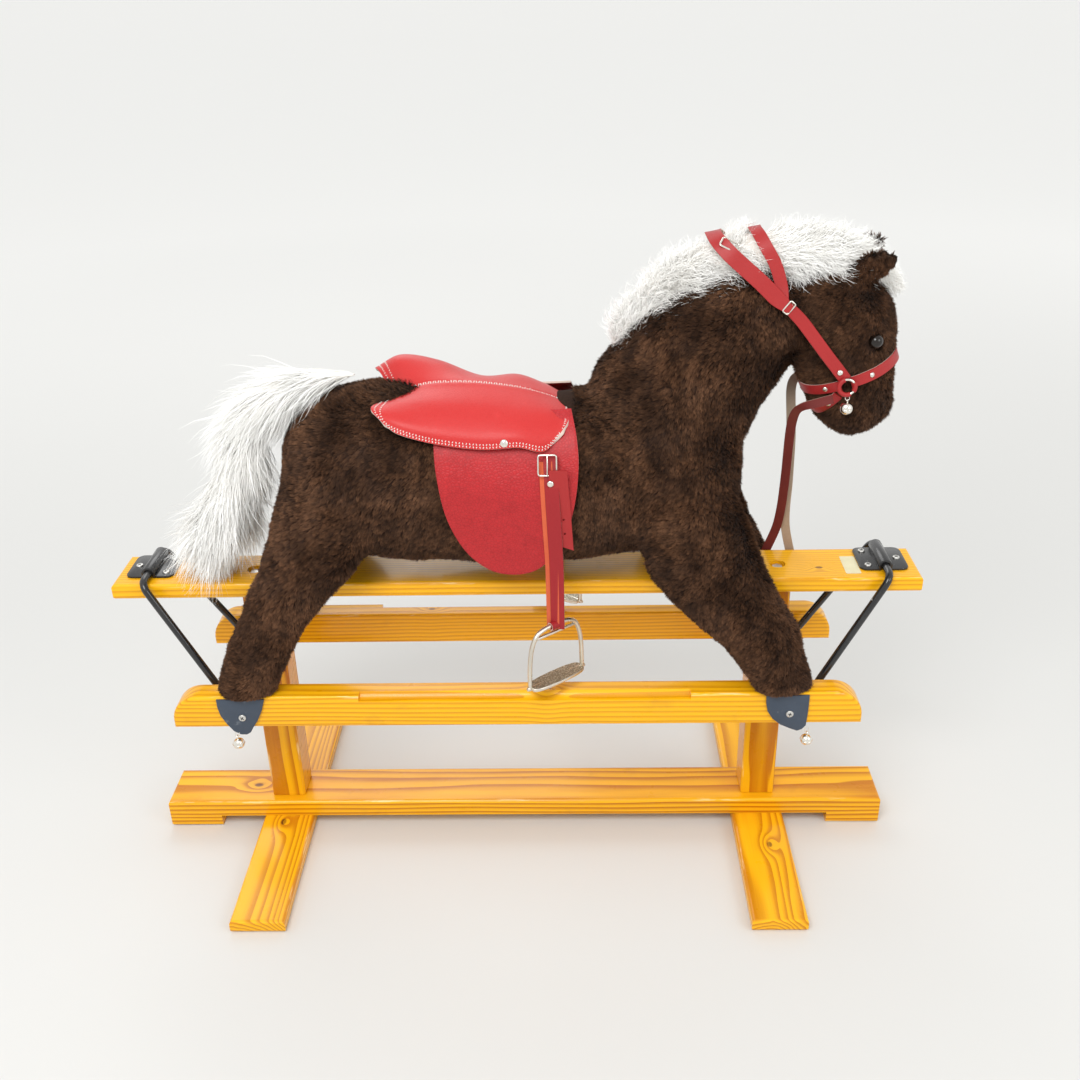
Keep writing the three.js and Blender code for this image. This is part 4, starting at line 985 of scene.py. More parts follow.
# ------------------------------------------------------------------ saddle seat
# Two panels of red leather over felt, joined down the middle by a zigzag seam. The seat flares
# into two lobes behind, and its raw edge is stitched round with two rows of white thread.
seat_net = np.array((
    ((-146, -80, 650), (-128, -88, 640), (-85, -93, 629), (-30, -95, 622), (14, -95, 624),
     (45, -93, 618), (66, -80, 638)),
    ((-162, -66, 662), (-131, -80, 652), (-88, -87, 642), (-32, -89, 635), (14, -89, 636),
     (48, -86, 631), (73, -70, 645)),
    ((-158, -42, 664), (-130, -50, 664), (-90, -54, 664), (-35, -56, 660), (14, -56, 656),
     (48, -54, 652), (76, -44, 648)),
    ((-147, -21, 660), (-126, -20, 667), (-92, -19, 673), (-40, -19, 673), (12, -19, 667),
     (45, -19, 659), (78, -18, 648)),
    ((-136, -8, 657), (-122, -8, 669), (-93, -9, 677), (-42, -9, 677), (11, -9, 670),
     (45, -9, 661), (79, -8, 647)),
    ((-147, 5, 664), (-127, 3, 676), (-93, 2, 680), (-41, 2, 676), (11, 2, 669), (45, 2, 660),
     (78, 4, 648)),
    ((-164, 26, 680), (-135, 30, 692), (-92, 32, 686), (-38, 32, 668), (10, 32, 667),
     (44, 32, 656), (74, 28, 644)),
    ((-172, 54, 676), (-138, 62, 689), (-90, 66, 678), (-36, 68, 655), (8, 68, 657),
     (43, 64, 642), (68, 58, 630)),
    ((-160, 70, 668), (-136, 80, 682), (-88, 84, 666), (-34, 86, 643), (6, 86, 645),
     (40, 84, 624), (60, 74, 622))), float) / 1000
seat_rows = np.array((-1, -0.78, -0.42, -0.13, 0, 0.13, 0.42, 0.78, 1))


def blended(knots, values, spots):
    """A smooth curve through values at the given knots, read at the given spots."""
    slope = np.gradient(values, knots, axis=0)
    cell = np.clip(np.searchsorted(knots, spots) - 1, 0, len(knots) - 2)
    wide = (knots[cell + 1] - knots[cell])
    t = ((spots - knots[cell]) / wide)
    shape = (-1,) + (1,) * (values.ndim - 1)
    t, wide = t.reshape(shape), wide.reshape(shape)
    return ((2 * t ** 3 - 3 * t ** 2 + 1) * values[cell] + (t ** 3 - 2 * t ** 2 + t) * wide
            * slope[cell] + (3 * t ** 2 - 2 * t ** 3) * values[cell + 1]
            + (t ** 3 - t ** 2) * wide * slope[cell + 1])


def on_seat(along, across):
    """The seat's top face at shares along (0 rear, 1 front) and across (-1 right, 1 left)."""
    along, across = np.atleast_1d(along).astype(float), np.atleast_1d(across).astype(float)
    stations = np.linspace(0, 1, 7)
    out = []
    for a, c in zip(along, across):
        row = blended(seat_rows, seat_net, np.array([c]))[0]
        out.append(blended(stations, row, np.array([a]))[0])
    out = np.array(out)
    puff = np.sin(np.pi * np.clip(np.abs(across) * 1.12, 0, 1)) ** 0.8
    ends = np.clip(np.minimum(along, 1 - along) * 7, 0, 1)
    seam = np.exp(-(across / 0.028) ** 2)
    out[:, 2] += puff * ends * 0.0028 - seam * 0.0004
    out[:, 1] += np.sign(across) * puff * ends * 0.0015
    return out


def leather(name, base, dark, grain, depth, rough=0.36, coat=0.25, crease=0.0, worn=0.2):
    """Finished leather: pebbled grain of the given scale, pulled into creases, with duller wear."""
    material, place, connect = new_finish(name, Coat_Weight=coat, Coat_Roughness=0.28,
                                          Specular_IOR_Level=0.32)
    pebble = place.node("TexVoronoi", {"feature": "DISTANCE_TO_EDGE"},
                        {"Vector": place.stretch(1, 1, 1), "Scale": grain, "Randomness": 1.0},
                        out="Distance")
    fold = place.noise(grain * 0.22, 4, 0.62, 1.2)
    wash = place.noise(14, 3, 0.6)
    height = pebble.step(0.0, 0.30) * 0.5 + fold * crease
    shade = (1 - pebble.step(0.0, 0.12)) * 0.35 + fold * 0.45 * (0.4 + crease) + wash * 0.35
    scuff = place.noise(55, 3, 0.65).step(0.62, 0.80) * worn
    connect("Base Color", scuff.colour((shade - 0.25).colour(base, dark),
                                       [min(1, c * 1.3 + 0.05) for c in base]))
    connect("Roughness", shade * 0.18 + scuff * 0.3 + rough)
    connect("Normal", height.bump(depth, 0.6))
    return material


red_leather = leather("seat_red_leather", (0.56, 0.022, 0.020), (0.36, 0.009, 0.010), 620, 0.0004,
                      rough=0.34, coat=0.16, worn=0.12)
edge_leather, place, connect = new_finish("raw_leather_edge", Roughness=0.85)
layers = place.noise(700, 2)
connect("Base Color", layers.colour((0.52, 0.40, 0.33), (0.80, 0.68, 0.60)))
connect("Normal", layers.bump(0.0003, 0.6))

seat = bmesh.new()
bmesh.ops.create_grid(seat, x_segments=72, y_segments=60, size=1)
seat.verts.ensure_lookup_table()
flat_spots = np.array([v.co[:] for v in seat.verts])
for vertex, place_on_seat in zip(seat.verts, on_seat(flat_spots[:, 0] / 2 + 0.5, flat_spots[:, 1])):
    vertex.co = place_on_seat
bmesh.ops.recalc_face_normals(seat, faces=seat.faces)
if sum(f.normal.z for f in seat.faces) < 0:
    bmesh.ops.reverse_faces(seat, faces=seat.faces)
seat_top = BVHTree.FromBMesh(seat)
seat_piece = finish_piece("saddle_seat_leather", seat, red_leather)
seat_piece.data.materials.append(edge_leather)
wall = seat_piece.modifiers.new("felt", "SOLIDIFY")
wall.thickness, wall.offset, wall.use_rim = 0.0042, -1, True
wall.material_offset, wall.material_offset_rim = 1, 1
soften = seat_piece.modifiers.new("soften", "BEVEL")
soften.width, soften.segments, soften.limit_method = 0.0009, 2, "ANGLE"
settle(seat_piece)
seat_piece.data.polygons.foreach_set("use_smooth", [True] * len(seat_piece.data.polygons))
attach(seat_piece, "horse")
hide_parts("saddle_seat")

thread_finish, place, connect = new_finish("white_thread", Roughness=0.8)
twist = place.noise(1500, 2)
connect("Base Color", twist.colour((0.62, 0.58, 0.54), (0.86, 0.83, 0.79)))
connect("Normal", twist.bump(0.0002, 0.6))


def stitch(shape, start, end, lift, thick=0.00058):
    """One stitch: a small rounded bar of thread lying from start to end."""
    run = end - start
    turn = run.to_track_quat("X", "Z").to_matrix().to_4x4()
    made = bmesh.ops.create_cube(shape, size=1, matrix=Matrix.Translation(
        (start + end) / 2 + lift * thick * 0.4) @ turn
        @ Matrix.Diagonal((run.length, thick * 2, thick * 1.5, 1)))
    bmesh.ops.bevel(shape, geom=list({e for v in made["verts"] for e in v.link_edges}),
                    offset=thick * 0.6, segments=1, profile=0.5, affect="EDGES", material=-1)


def stitch_row(shape, line, bearings, pitch, slant, wide):
    """Zigzag stitches along a line of points that lies on leather."""
    total, legs_of = 0.0, []
    for k in range(len(line) - 1):
        step = line[k + 1] - line[k]
        total += step.length
        if total >= pitch:
            total = 0.0
            run = step.normalized()
            side = run.cross(bearings[k]).normalized()
            flip = 1 if len(legs_of) % 2 else -1
            lean = side * wide / 2 + run * pitch * slant * flip / 2
            legs_of.append((line[k] - lean, line[k] + lean, bearings[k]))
    for start, end, up in legs_of:
        stitch(shape, start, end, up)


stitches = bmesh.new()
fine = np.linspace(0.03, 0.97, 700)


def seat_line(along, across):
    spots = [Vector(p) for p in on_seat(along, across)]
    ups = []
    for spot in spots:
        _, up, _, _ = seat_top.find_nearest(spot)
        ups.append(up)
    return spots, ups


for inset in (0.035, 0.085):
    for side in (-1, 1):
        stitch_row(stitches, *seat_line(fine, fine * 0 + side * (1 - inset * 1.1)), 0.0038, 0.25,
                   0.0021)
    rear = np.linspace(-0.93, 0.93, 700)
    stitch_row(stitches, *seat_line(rear * 0 + inset * 0.75, rear), 0.0038, 0.25, 0.0021)
stitch_row(stitches, *seat_line(fine, fine * 0), 0.0030, 0.4, 0.0056)
front = np.linspace(-0.9, 0.9, 500)
stitch_row(stitches, *seat_line(front * 0 + 0.972, front), 0.0038, 0.25, 0.0021)
thread = finish_piece("saddle_stitching", stitches, thread_finish)
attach(thread, "horse")

nickel = bright_metal("nickel_plate", (0.80, 0.77, 0.70), 0.16)


def dome(shape, place, facing, radius, height):
    """A round-headed rivet or stud standing on a surface."""
    stand = Matrix.Translation(place) @ Vector(facing).to_track_quat("Z", "Y").to_matrix().to_4x4()
    made = bmesh.ops.create_uvsphere(shape, u_segments=20, v_segments=12, radius=1,
                                     matrix=stand @ Matrix.Diagonal((radius, radius, height, 1)))
    return made["verts"]


studs = bmesh.new()
for side in (-1, 1):
    spot = Vector(on_seat(0.60, side * 0.90)[0])
    _, up, _, _ = seat_top.find_nearest(spot)
    dome(studs, spot, up, 0.0052, 0.0026)
stud_piece = finish_piece("saddle_studs", studs, nickel, smooth=60)
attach(stud_piece, "horse")

# ------------------------------------------------------------------ saddle flaps
# Each flap is one piece of thick crimson hide with a coarse crushed grain and a pale cut edge. It
# hangs from under the seat.
crimson = leather("crimson_hide", (0.50, 0.016, 0.020), (0.24, 0.004, 0.007), 260, 0.0010,
                  rough=0.36, coat=0.14, crease=1.1, worn=0.15)
flap_outline = [(-88, 650), (-88, 620), (-85, 587), (-75, 534), (-55, 492), (-27, 466), (0, 458),
                (28, 462), (50, 480), (72, 520), (82, 560), (86, 600), (84, 630), (78, 655)]


def flap_side(height):
    """How far out the flap lies at a height: round the barrel, then straight down."""
    over = max(0.0, height - 0.548)
    return 0.1055 * math.sqrt(max(0.0, 1 - (over / 0.121) ** 2))


def flap_piece(side, name):
    rim = smooth_path([Vector((x, 0, z)) / 1000 for x, z in flap_outline], 6)
    shape = bmesh.new()
    face = shape.faces.new([shape.verts.new(p) for p in rim])
    for axis, count in (((1, 0, 0), 30), ((0, 0, 1), 34)):
        lows = [p.dot(Vector(axis)) for p in rim]
        for cut in np.linspace(min(lows), max(lows), count)[1:-1]:
            bmesh.ops.bisect_plane(shape, geom=shape.verts[:] + shape.edges[:] + shape.faces[:],
                                   plane_co=Vector(axis) * cut, plane_no=axis)
    for vertex in shape.verts:
        swell = 0.0016 * math.sin(vertex.co.x * 31 + 1) * math.sin(vertex.co.z * 27)
        vertex.co.y = side * (flap_side(vertex.co.z) + swell)
    bmesh.ops.recalc_face_normals(shape, faces=shape.faces)
    if sum(f.normal.y for f in shape.faces) * side < 0:
        bmesh.ops.reverse_faces(shape, faces=shape.faces)
    flap = finish_piece(name, shape, crimson)
    flap.data.materials.append(edge_leather)
    wall = flap.modifiers.new("hide", "SOLIDIFY")
    wall.thickness, wall.offset, wall.use_rim, wall.material_offset_rim = 0.0026, 0, True, 1
    soften = flap.modifiers.new("soften", "BEVEL")
    soften.width, soften.segments, soften.limit_method = 0.0005, 2, "ANGLE"
    settle(flap)
    flap.data.polygons.foreach_set("use_smooth", [True] * len(flap.data.polygons))
    return flap


for side, name in ((-1, "right"), (1, "left")):
    flap = flap_piece(side, f"{name}_flap_hide")
    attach(flap, "horse")
    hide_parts(f"{name}_flap")

# ------------------------------------------------------------------ hooves
# Flat tongues of blue-grey vinyl that come down from the feet over the runners' outer faces, each
# held by one domed screw. Their bottom edge carries the staple that the bell hangs from.
vinyl, place, connect = new_finish("grey_vinyl", Specular_IOR_Level=0.4)
cloud = place.noise(30, 3, 0.6)
pores = place.noise(620, 2, 0.6)
rub = place.noise(75, 3, 0.7).step(0.60, 0.76)
connect("Base Color", rub.colour(cloud.colour((0.030, 0.044, 0.068), (0.060, 0.078, 0.108)),
                                 (0.13, 0.15, 0.18)))
connect("Roughness", rub * 0.25 + cloud * 0.1 + 0.42)
connect("Normal", pores.bump(0.00025, 0.5))
hoof_outer, hoof_thick = 0.12085, 0.003
hoof_shapes = {
    "rear": ((-36, -2), (-36, -13), (-33.5, -27), (-27, -40), (-19, -52), (-10, -57.5), (-2, -57.6),
             (3.5, -54), (8, -46), (15, -35), (22, -20), (27.5, -2)),
    "front": ((27, -2), (27, -24), (25.6, -49), (21, -55), (14.5, -57.8), (4, -53.5), (-8, -47.6),
              (-19, -38), (-26, -26), (-28.4, -14), (-28.8, -2))}
bell_spots = {"rear": -0.3706, "front": 0.3834}
bell_hang = 0.2259
for end, name in ((-1, "rear"), (1, "front")):
    for side, way in ((-1, "right"), (1, "left")):
        rim = [(end * 0.356 + x / 1000, runner_top + z / 1000) for x, z in hoof_shapes[name]]
        low = side * hoof_outer if side > 0 else -hoof_outer - hoof_thick
        shape = cutter(rim, low, low + hoof_thick)
        edges = [e for e in shape.edges if abs(e.verts[0].co.y - e.verts[1].co.y) < 1e-6]
        bmesh.ops.bevel(shape, geom=edges, offset=0.0008, segments=3, profile=0.5,
                        affect="EDGES", material=-1)
        hoof = finish_piece(f"{name}_{way}_hoof_vinyl", shape, vinyl, smooth=40)
        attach(hoof, "horse")
        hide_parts(f"{name}_{way}_hoof")
        face = side * (hoof_outer + hoof_thick)
        screw = bmesh.new()
        spot = Vector((end * 0.356 + (-0.0045 if end < 0 else 0.003), face, 0.256))
        screw_head(screw, spot, (0, side, 0), 0.0050, 0.0022, 0.4 + end)
        head_of_screw = finish_piece(f"{name}_{way}_hoof_screw", screw, zinc, smooth=40)
        head_of_screw.data.materials.append(slot_painted_shade)
        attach(head_of_screw, "horse")

# ------------------------------------------------------------------ jingle bells
# Round pressed bells of nickel plated brass, 16 mm across, in two halves rolled together round
# the middle, with a cross slot below and a loose pea inside. Each swings on a wire staple.
bell_radius = 0.0080
bell_nickel = bright_metal("bell_nickel", (0.86, 0.83, 0.76), 0.10, 0.06)


def jingle_bell(name, hang, node):
    middle = hang - Vector((0, 0, 0.0099))
    shape = bmesh.new()
    bmesh.ops.create_uvsphere(shape, u_segments=40, v_segments=24, radius=bell_radius - 0.0002,
                              matrix=Matrix.Translation(middle))
    shell = finish_piece(name + "_shell", shape, bell_nickel)
    wall = shell.modifiers.new("wall", "SOLIDIFY")
    wall.thickness, wall.offset = 0.0006, -1
    tools = []
    for turn in (0.4, 0.4 + math.pi / 2):
        tool = bmesh.new()
        bmesh.ops.create_cube(tool, size=1, matrix=Matrix.Translation(
            middle - Vector((0, 0, 0.0075))) @ Matrix.Rotation(turn, 4, "Z")
            @ Matrix.Diagonal((0.0125, 0.0014, 0.0080, 1)))
        tools.append(tool)
    settle(shell)
    cut_from(shell, tools)
    shell.data.polygons.foreach_set("use_smooth", [True] * len(shell.data.polygons))
    shell.data.set_sharp_from_angle(angle=math.radians(40))
    ring = [middle + Vector((math.cos(a), math.sin(a), 0)) * bell_radius * 0.985
            for a in np.linspace(0, 2 * math.pi, 40, endpoint=False)]
    belt = tube(name + "_belt", ring, 0.00045, around=2, closed=True)
    loop = [hang + Vector((0, math.cos(a), math.sin(a))) * 0.0026
            for a in np.linspace(0, 2 * math.pi, 24, endpoint=False)]
    wire = tube(name + "_loop", loop, 0.0007, around=3, closed=True)
    pea = bmesh.new()
    bmesh.ops.create_uvsphere(pea, u_segments=14, v_segments=8, radius=0.0021,
                              matrix=Matrix.Translation(middle - Vector((0, 0, 0.0052))))
    ball = finish_piece(name + "_pea", pea, zinc, smooth=90)
    for piece in (belt, wire):
        piece.data.materials.append(bell_nickel)
    body = next(b for b, members in frame["record"]["behaviour"]["bodies"].items()
                if node in members)
    for piece in (shell, belt, wire, ball):
        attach(piece, body)
    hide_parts(node)


def staple(name, across, hang, back):
    """A bent wire whose crossbar runs through a bell's loop; back is where its legs go in."""
    bar = hang + Vector((0, 0, 0.0010))
    run = Vector((across / 2, 0, 0))
    piece = tube(name, bent([back - run, bar - run, bar + run, back + run], 0.0008, 5), 0.0005,
                 around=3)
    piece.data.materials.append(bell_nickel)
    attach(piece, "horse")


for end, name in ((-1, "rear"), (1, "front")):
    for side, way in ((-1, "right"), (1, "left")):
        hang = Vector((bell_spots[name], side * 0.12535, bell_hang))
        jingle_bell(f"{name}_{way}_hoof_jingle", hang, f"{name}_{way}_hoof_bell")
        staple(f"{name}_{way}_hoof_staple", 0.0050, hang,
               Vector((bell_spots[name], side * 0.1230, bell_hang + 0.0075)))
for side, way in ((-1, "right"), (1, "left")):
    hang = Vector((0.408, side * 0.0575, 0.6639))
    jingle_bell(f"{way}_bit_jingle", hang, f"{way}_bit_bell")
    staple(f"{way}_bit_staple", 0.0050, hang, Vector((0.408, side * 0.0556, 0.6716)))

# ------------------------------------------------------------------ eyes
# Glossy dark domes of moulded plastic, sunk into the pile, which is cleared round each.
eye_glass, place, connect = new_finish("eye_glass", Coat_Weight=0.25, Coat_Roughness=0.02,
                                       Specular_IOR_Level=0.35)
depth_of_eye = place.noise(90, 2)
connect("Base Color", depth_of_eye.colour((0.004, 0.003, 0.0025), (0.016, 0.009, 0.006)))
connect("Roughness", place.noise(240, 2) * 0.05 + 0.04)
for side, way in ((-1, "right"), (1, "left")):
    spot = Vector((0.438, side * 0.0425, 0.732))
    ball = bmesh.new()
    bmesh.ops.create_uvsphere(ball, u_segments=40, v_segments=26, radius=0.0088,
                              matrix=Matrix.Translation(spot))
    eye = finish_piece(f"{way}_eye_dome", ball, eye_glass, smooth=180)
    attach(eye, "horse")
    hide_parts(f"{way}_eye")

# ------------------------------------------------------------------ stirrup leathers
# One long strap doubled through the iron's slot and buckled near its top. The strand in front
# shows its crimson grain side, and the strand behind it shows a rim of orange flesh side.
leather_top = 0.614
strap_side, strap_back = 0.055, 0.1095
strand_red = leather("strand_crimson", (0.33, 0.012, 0.016), (0.19, 0.005, 0.008), 900, 0.0002,
                     rough=0.40, coat=0.08, worn=0.10)
strand_suede = strap_leather("strand_suede", (0.52, 0.075, 0.030), (0.74, 0.17, 0.075), 0.8)
strand_thick = 0.0021


def strand_line(outward, forward, top, low):
    """Points down one strand: over the saddle's shoulder, down the flap, then plumb."""
    rows = ((leather_top, -0.0175), (0.606, -0.0148), (0.585, -0.0060), (0.560, -0.0015), (0.528, 0.0),
            (0.480, 0.0), (0.440, 0.0), (0.412, 0.0), (low, 0.0))
    out = []
    for height, inward in rows:
        if height > top:
            continue
        share = (leather_top - height) / (leather_top - low)
        slide = -0.006 * (1 - min(1, share * 1.6)) + 0.002
        out.append(Vector((strap_side + forward + slide, strap_back + inward + outward, height)))
    return smooth_path(out, 5)


stirrup_turn = math.radians(39)
for side, way in ((-1, "right"), (1, "left")):
    flip = Matrix.Diagonal((1, side, 1))
    for strand, outward, forward, top, low in (("rear", 0.0012, -0.0048, 0.606, 0.3835),
                                               ("front", 0.0038, 0.0010, leather_top, 0.3825)):
        line = [flip @ p for p in strand_line(outward, forward, top, low)]

        def facing(i, point, run, strand=strand, low=low):
            twist = min(1.0, max(0.0, (0.50 - point.z) / (0.50 - low))) * 0.42
            start = 0.30 if strand == "rear" else 0.10
            lean = start * (1 - twist) + (0.62 if strand == "rear" else 0.50) * twist
            return Vector((-math.sin(lean) if strand == "rear" else math.sin(lean) * -0.4,
                           side * math.cos(lean), 0))

        shape = strap_mesh(line, facing, 0.0175, strand_thick)
        piece = finish_piece(f"{way}_{strand}_strand", shape,
                             strand_red if strand == "front" else strand_suede, smooth=40)
        piece.data.materials.append(strand_suede)
        piece.data.materials.append(edge_leather if strand == "front" else strand_suede)
        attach(piece, f"{way}_leather")
        if strand == "front":
            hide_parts(f"{way}_stirrup_leather")
    eye = [Vector((strap_side, side * 0.1120, 0.388)) + Matrix.Rotation(-side * stirrup_turn, 3, "Z")
           @ Vector((0, math.sin(a), math.cos(a))) * 0.0047 for a in np.linspace(0, 2 * math.pi, 28,
                                                                          endpoint=False)]
    middle = Vector((strap_side, side * 0.1120, 0.388))
    shape = strap_mesh(eye, lambda i, point, run, m=middle: point - m, 0.0165, 0.0021,
                       closed=True)
    wrap = finish_piece(f"{way}_strap_eye", shape, strand_red, smooth=40)
    wrap.data.materials.append(strand_suede)
    wrap.data.materials.append(edge_leather)
    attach(wrap, f"{way}_leather")

# ------------------------------------------------------------------ stirrup buckles
# A cast buckle of two upright bars with a prong, sewn in the front strand under the saddle's
# edge, and a domed rivet below it that holds the strap's end down.
for side, way in ((-1, "right"), (1, "left")):
    spot = Vector((0.0485, side * 0.1050, 0.6045))
    frame_line = [spot + Vector((x, side * y, z)) for x, y, z in (
        (-0.0110, 0.0020, -0.0120), (0.0110, 0.0025, -0.0120), (0.0110, -0.0035, 0.0120),
        (-0.0110, -0.0040, 0.0120))]
    loop = [p for k in range(4) for p in bent(
        [(frame_line[k - 1] + frame_line[k]) / 2, frame_line[k],
         (frame_line[k] + frame_line[(k + 1) % 4]) / 2], 0.003, 5)[:-1]]
    buckle = tube(f"{way}_buckle_frame", loop, 0.0011, around=4, closed=True)
    buckle.data.materials.append(nickel)
    prong = tube(f"{way}_buckle_prong", [spot + Vector((x, side * y, z)) for x, y, z in (
        (0.0, -0.0040, 0.0120), (0.0, -0.0005, 0.0070), (0.0, 0.0035, -0.0030),
        (0.0, 0.0034, -0.0120))], 0.0009, around=3)
    prong.data.materials.append(nickel)
    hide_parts(f"{way}_buckle")
    rivets = bmesh.new()
    dome(rivets, Vector((0.0520, side * 0.1115, 0.5835)), (0, side, 0), 0.0042, 0.0022)
    rivet = finish_piece(f"{way}_strap_rivet", rivets, nickel, smooth=60)
    for piece in (buckle, prong, rivet):
        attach(piece, f"{way}_leather")

# ------------------------------------------------------------------ stirrup irons
# Cast nickel irons, turned a little outwards: a round bar bowed into a D, a slot web at the top
# for the leather, and a flat tread with a knurled face.
iron_warm = bright_metal("stirrup_nickel", (0.74, 0.69, 0.60), 0.20, 0.16)
tread_metal, place, connect = new_finish("stirrup_tread", Metallic=1.0)
knurl = place.node("TexVoronoi", {"feature": "F1"}, {"Vector": place.stretch(1, 1, 1),
                                                     "Scale": 430.0}, out="Distance")
connect("Base Color", knurl.step(0.1, 0.6).colour((0.74, 0.68, 0.54), (0.36, 0.32, 0.24)))
connect("Roughness", knurl * 0.2 + 0.42)
connect("Normal", (1 - knurl).bump(0.0009, 0.8))
stirrup_drop, bar_half, tread_half = 0.080, 0.014, 0.0425
for side, way in ((-1, "right"), (1, "left")):
    hang = Matrix.Translation((strap_side, side * 0.1115, 0.388)) @ Matrix.Rotation(
        -side * stirrup_turn, 4, "Z")
    bow = [(-bar_half, 0), (bar_half, 0), (0.030, -0.006), (0.0385, -0.022), (0.0420, -0.044),
           (0.0428, -0.066), (0.0425, -0.0775), (0.0385, -0.0802), (-0.0385, -0.0802),
           (-0.0425, -0.0775), (-0.0428, -0.066), (-0.0420, -0.044), (-0.0385, -0.022),
           (-0.030, -0.006)]
    ring = [Vector((x, 0, z)) for x, z in bow]
    dense = smooth_path(ring[-1:] + ring + ring[:2], 6)[6:-6]
    loop = tube(f"{way}_stirrup_bow", [hang @ p for p in dense[:-1]], 0.0029, around=6,
                closed=True)
    loop.data.materials.append(iron_warm)
    web = bmesh.new()
    bmesh.ops.create_cube(web, size=1, matrix=hang @ Matrix.Translation((0, 0, -0.0105))
                          @ Matrix.Diagonal((0.062, 0.0038, 0.0036, 1)))
    bmesh.ops.bevel(web, geom=web.edges[:], offset=0.0012, segments=3, profile=0.5,
                    affect="EDGES", material=-1)
    bar = finish_piece(f"{way}_stirrup_web", web, iron_warm, smooth=40)
    rim = [(tread_half * math.cos(a),
            0.0135 * (abs(math.sin(a)) ** 0.45) * (1 if math.sin(a) > 0 else -1))
           for a in np.linspace(0, 2 * math.pi, 48, endpoint=False)]
    tread = bmesh.new()
    base = tread.faces.new([tread.verts.new((x, y, -stirrup_drop - 0.0022)) for x, y in rim])
    up = bmesh.ops.extrude_face_region(tread, geom=[base])
    bmesh.ops.translate(tread, verts=[v for v in up["geom"] if isinstance(v, bmesh.types.BMVert)],
                        vec=(0, 0, 0.0046))
    bmesh.ops.transform(tread, matrix=hang, verts=tread.verts)
    bmesh.ops.recalc_face_normals(tread, faces=tread.faces)
    rims = [e for e in tread.edges if e.calc_face_angle(0) > 1]
    bmesh.ops.bevel(tread, geom=rims, offset=0.0010, segments=3, profile=0.5, affect="EDGES",
                    material=-1)
    for face in tread.faces:
        if face.normal.z > 0.95 and face.calc_area() > 1e-4:
            face.material_index = 1
    plate = finish_piece(f"{way}_stirrup_tread", tread, iron_warm, smooth=40)
    plate.data.materials.append(tread_metal)
    for piece in (loop, bar, plate):
        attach(piece, f"{way}_stirrup_body")
    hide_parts(f"{way}_stirrup")

# ------------------------------------------------------------------ noseband and jaw straps
# Red leather straps 14 mm wide. The noseband runs over the nose from ring to ring, and two straps
# below it run back under the jaw. A domed rivet holds each strap's end.
skin_tree = BVHTree.FromPolygons([v.co for v in plush.data.vertices],
                                 [p.vertices for p in plush.data.polygons])
bridle_red = leather("bridle_red", (0.38, 0.020, 0.020), (0.24, 0.008, 0.010), 800, 0.00025,
                     rough=0.36, coat=0.10, worn=0.15)
strap_flesh = strap_leather("bridle_flesh_side", (0.42, 0.22, 0.17), (0.62, 0.38, 0.30), 0.8)
bridle_width, bridle_thick, over_pile = 0.014, 0.0022, 0.0062


def round_head(centre, ahead, start, stop, steps=60):
    """Points on the head where a plane through the centre, holding the Y axis, meets it."""
    out, ahead = [], Vector(ahead).normalized()
    for turn in np.radians(np.linspace(start, stop, steps)):
        way = ahead * math.cos(turn) + Vector((0, 1, 0)) * math.sin(turn)
        spot, _, _, _ = skin_tree.ray_cast(Vector(centre), way)
        out.append((spot + way * over_pile, way))
    path = [p for p, _ in out]
    for _ in range(4):
        path = path[:1] + [(a + 2 * b + c) / 4 for a, b, c in zip(path, path[1:], path[2:])] + path[-1:]
    return path, [w for _, w in out]


def bridle_strap(name, path, ways, width=bridle_width):
    shape = strap_mesh(path, lambda i, point, run: ways[i], width, bridle_thick)
    piece = finish_piece(name, shape, bridle_red, smooth=40)
    piece.data.materials.append(strap_flesh)
    piece.data.materials.append(edge_leather)
    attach(piece, "horse")
    return piece


nose_path, nose_ways = round_head((0.410, 0, 0.6835), (59, 0, 22), -88, 88)
nose_strap = bridle_strap("noseband_strap", nose_path, nose_ways)
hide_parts("noseband")
jaw_paths = {}
for name, centre, ahead, reach in (("upper", (0.404, 0, 0.6810), (-42, 0, -17), 86),
                                   ("lower", (0.404, 0, 0.6730), (-24, 0, -34), 80)):
    path, ways = round_head(centre, ahead, -reach, reach)
    bridle_strap(f"{name}_jaw_strap", path, ways, 0.0125)
    jaw_paths[name] = (path, ways)

rivets = bmesh.new()
for path, ways, index in ((nose_path, nose_ways, 9), (*jaw_paths["upper"], 8),
                          (*jaw_paths["lower"], 8)):
    for at in (index, len(path) - 1 - index):
        dome(rivets, path[at] + ways[at] * 0.0009, ways[at], 0.0033, 0.0019)

# ------------------------------------------------------------------ headstall and neck strap
# The cheek straps climb from the rings to a keeper behind each cheek. There one strap goes over
# the poll, and a wider one lies back over the mane to a buckle on the crest.
cheek_rows = ((404, 55, 689), (397, 55.5, 698), (380, 54, 719), (365, 51, 738), (350, 48.5, 757),
              (335, 49, 773), (328, 48, 781), (323, 42, 799), (315, 37, 823), (304, 31, 842),
              (297, 18, 854), (294, 0, 858))
neck_rows = ((334, 51, 774), (327, 50.5, 779), (316, 48, 788), (297, 44, 806), (278, 39, 822),
             (262, 34, 836), (250, 22, 848), (246, 0, 853))


def both_sides(rows):
    half = [Vector((x, -y, z)) / 1000 for x, y, z in rows]
    return smooth_path(half + [Vector((p.x, -p.y, p.z)) for p in reversed(half[:-1])], 7)


def outward(path, crest):
    """The way out from the body's middle line at each point."""
    return [(Vector((0, p.y, 0)) + (p - Vector((p.x, 0, p.z - 0.035))).normalized() * 0.02
             + Vector((crest, 0, 0)) * 0.002).normalized() for p in path]


cheek = both_sides(cheek_rows)


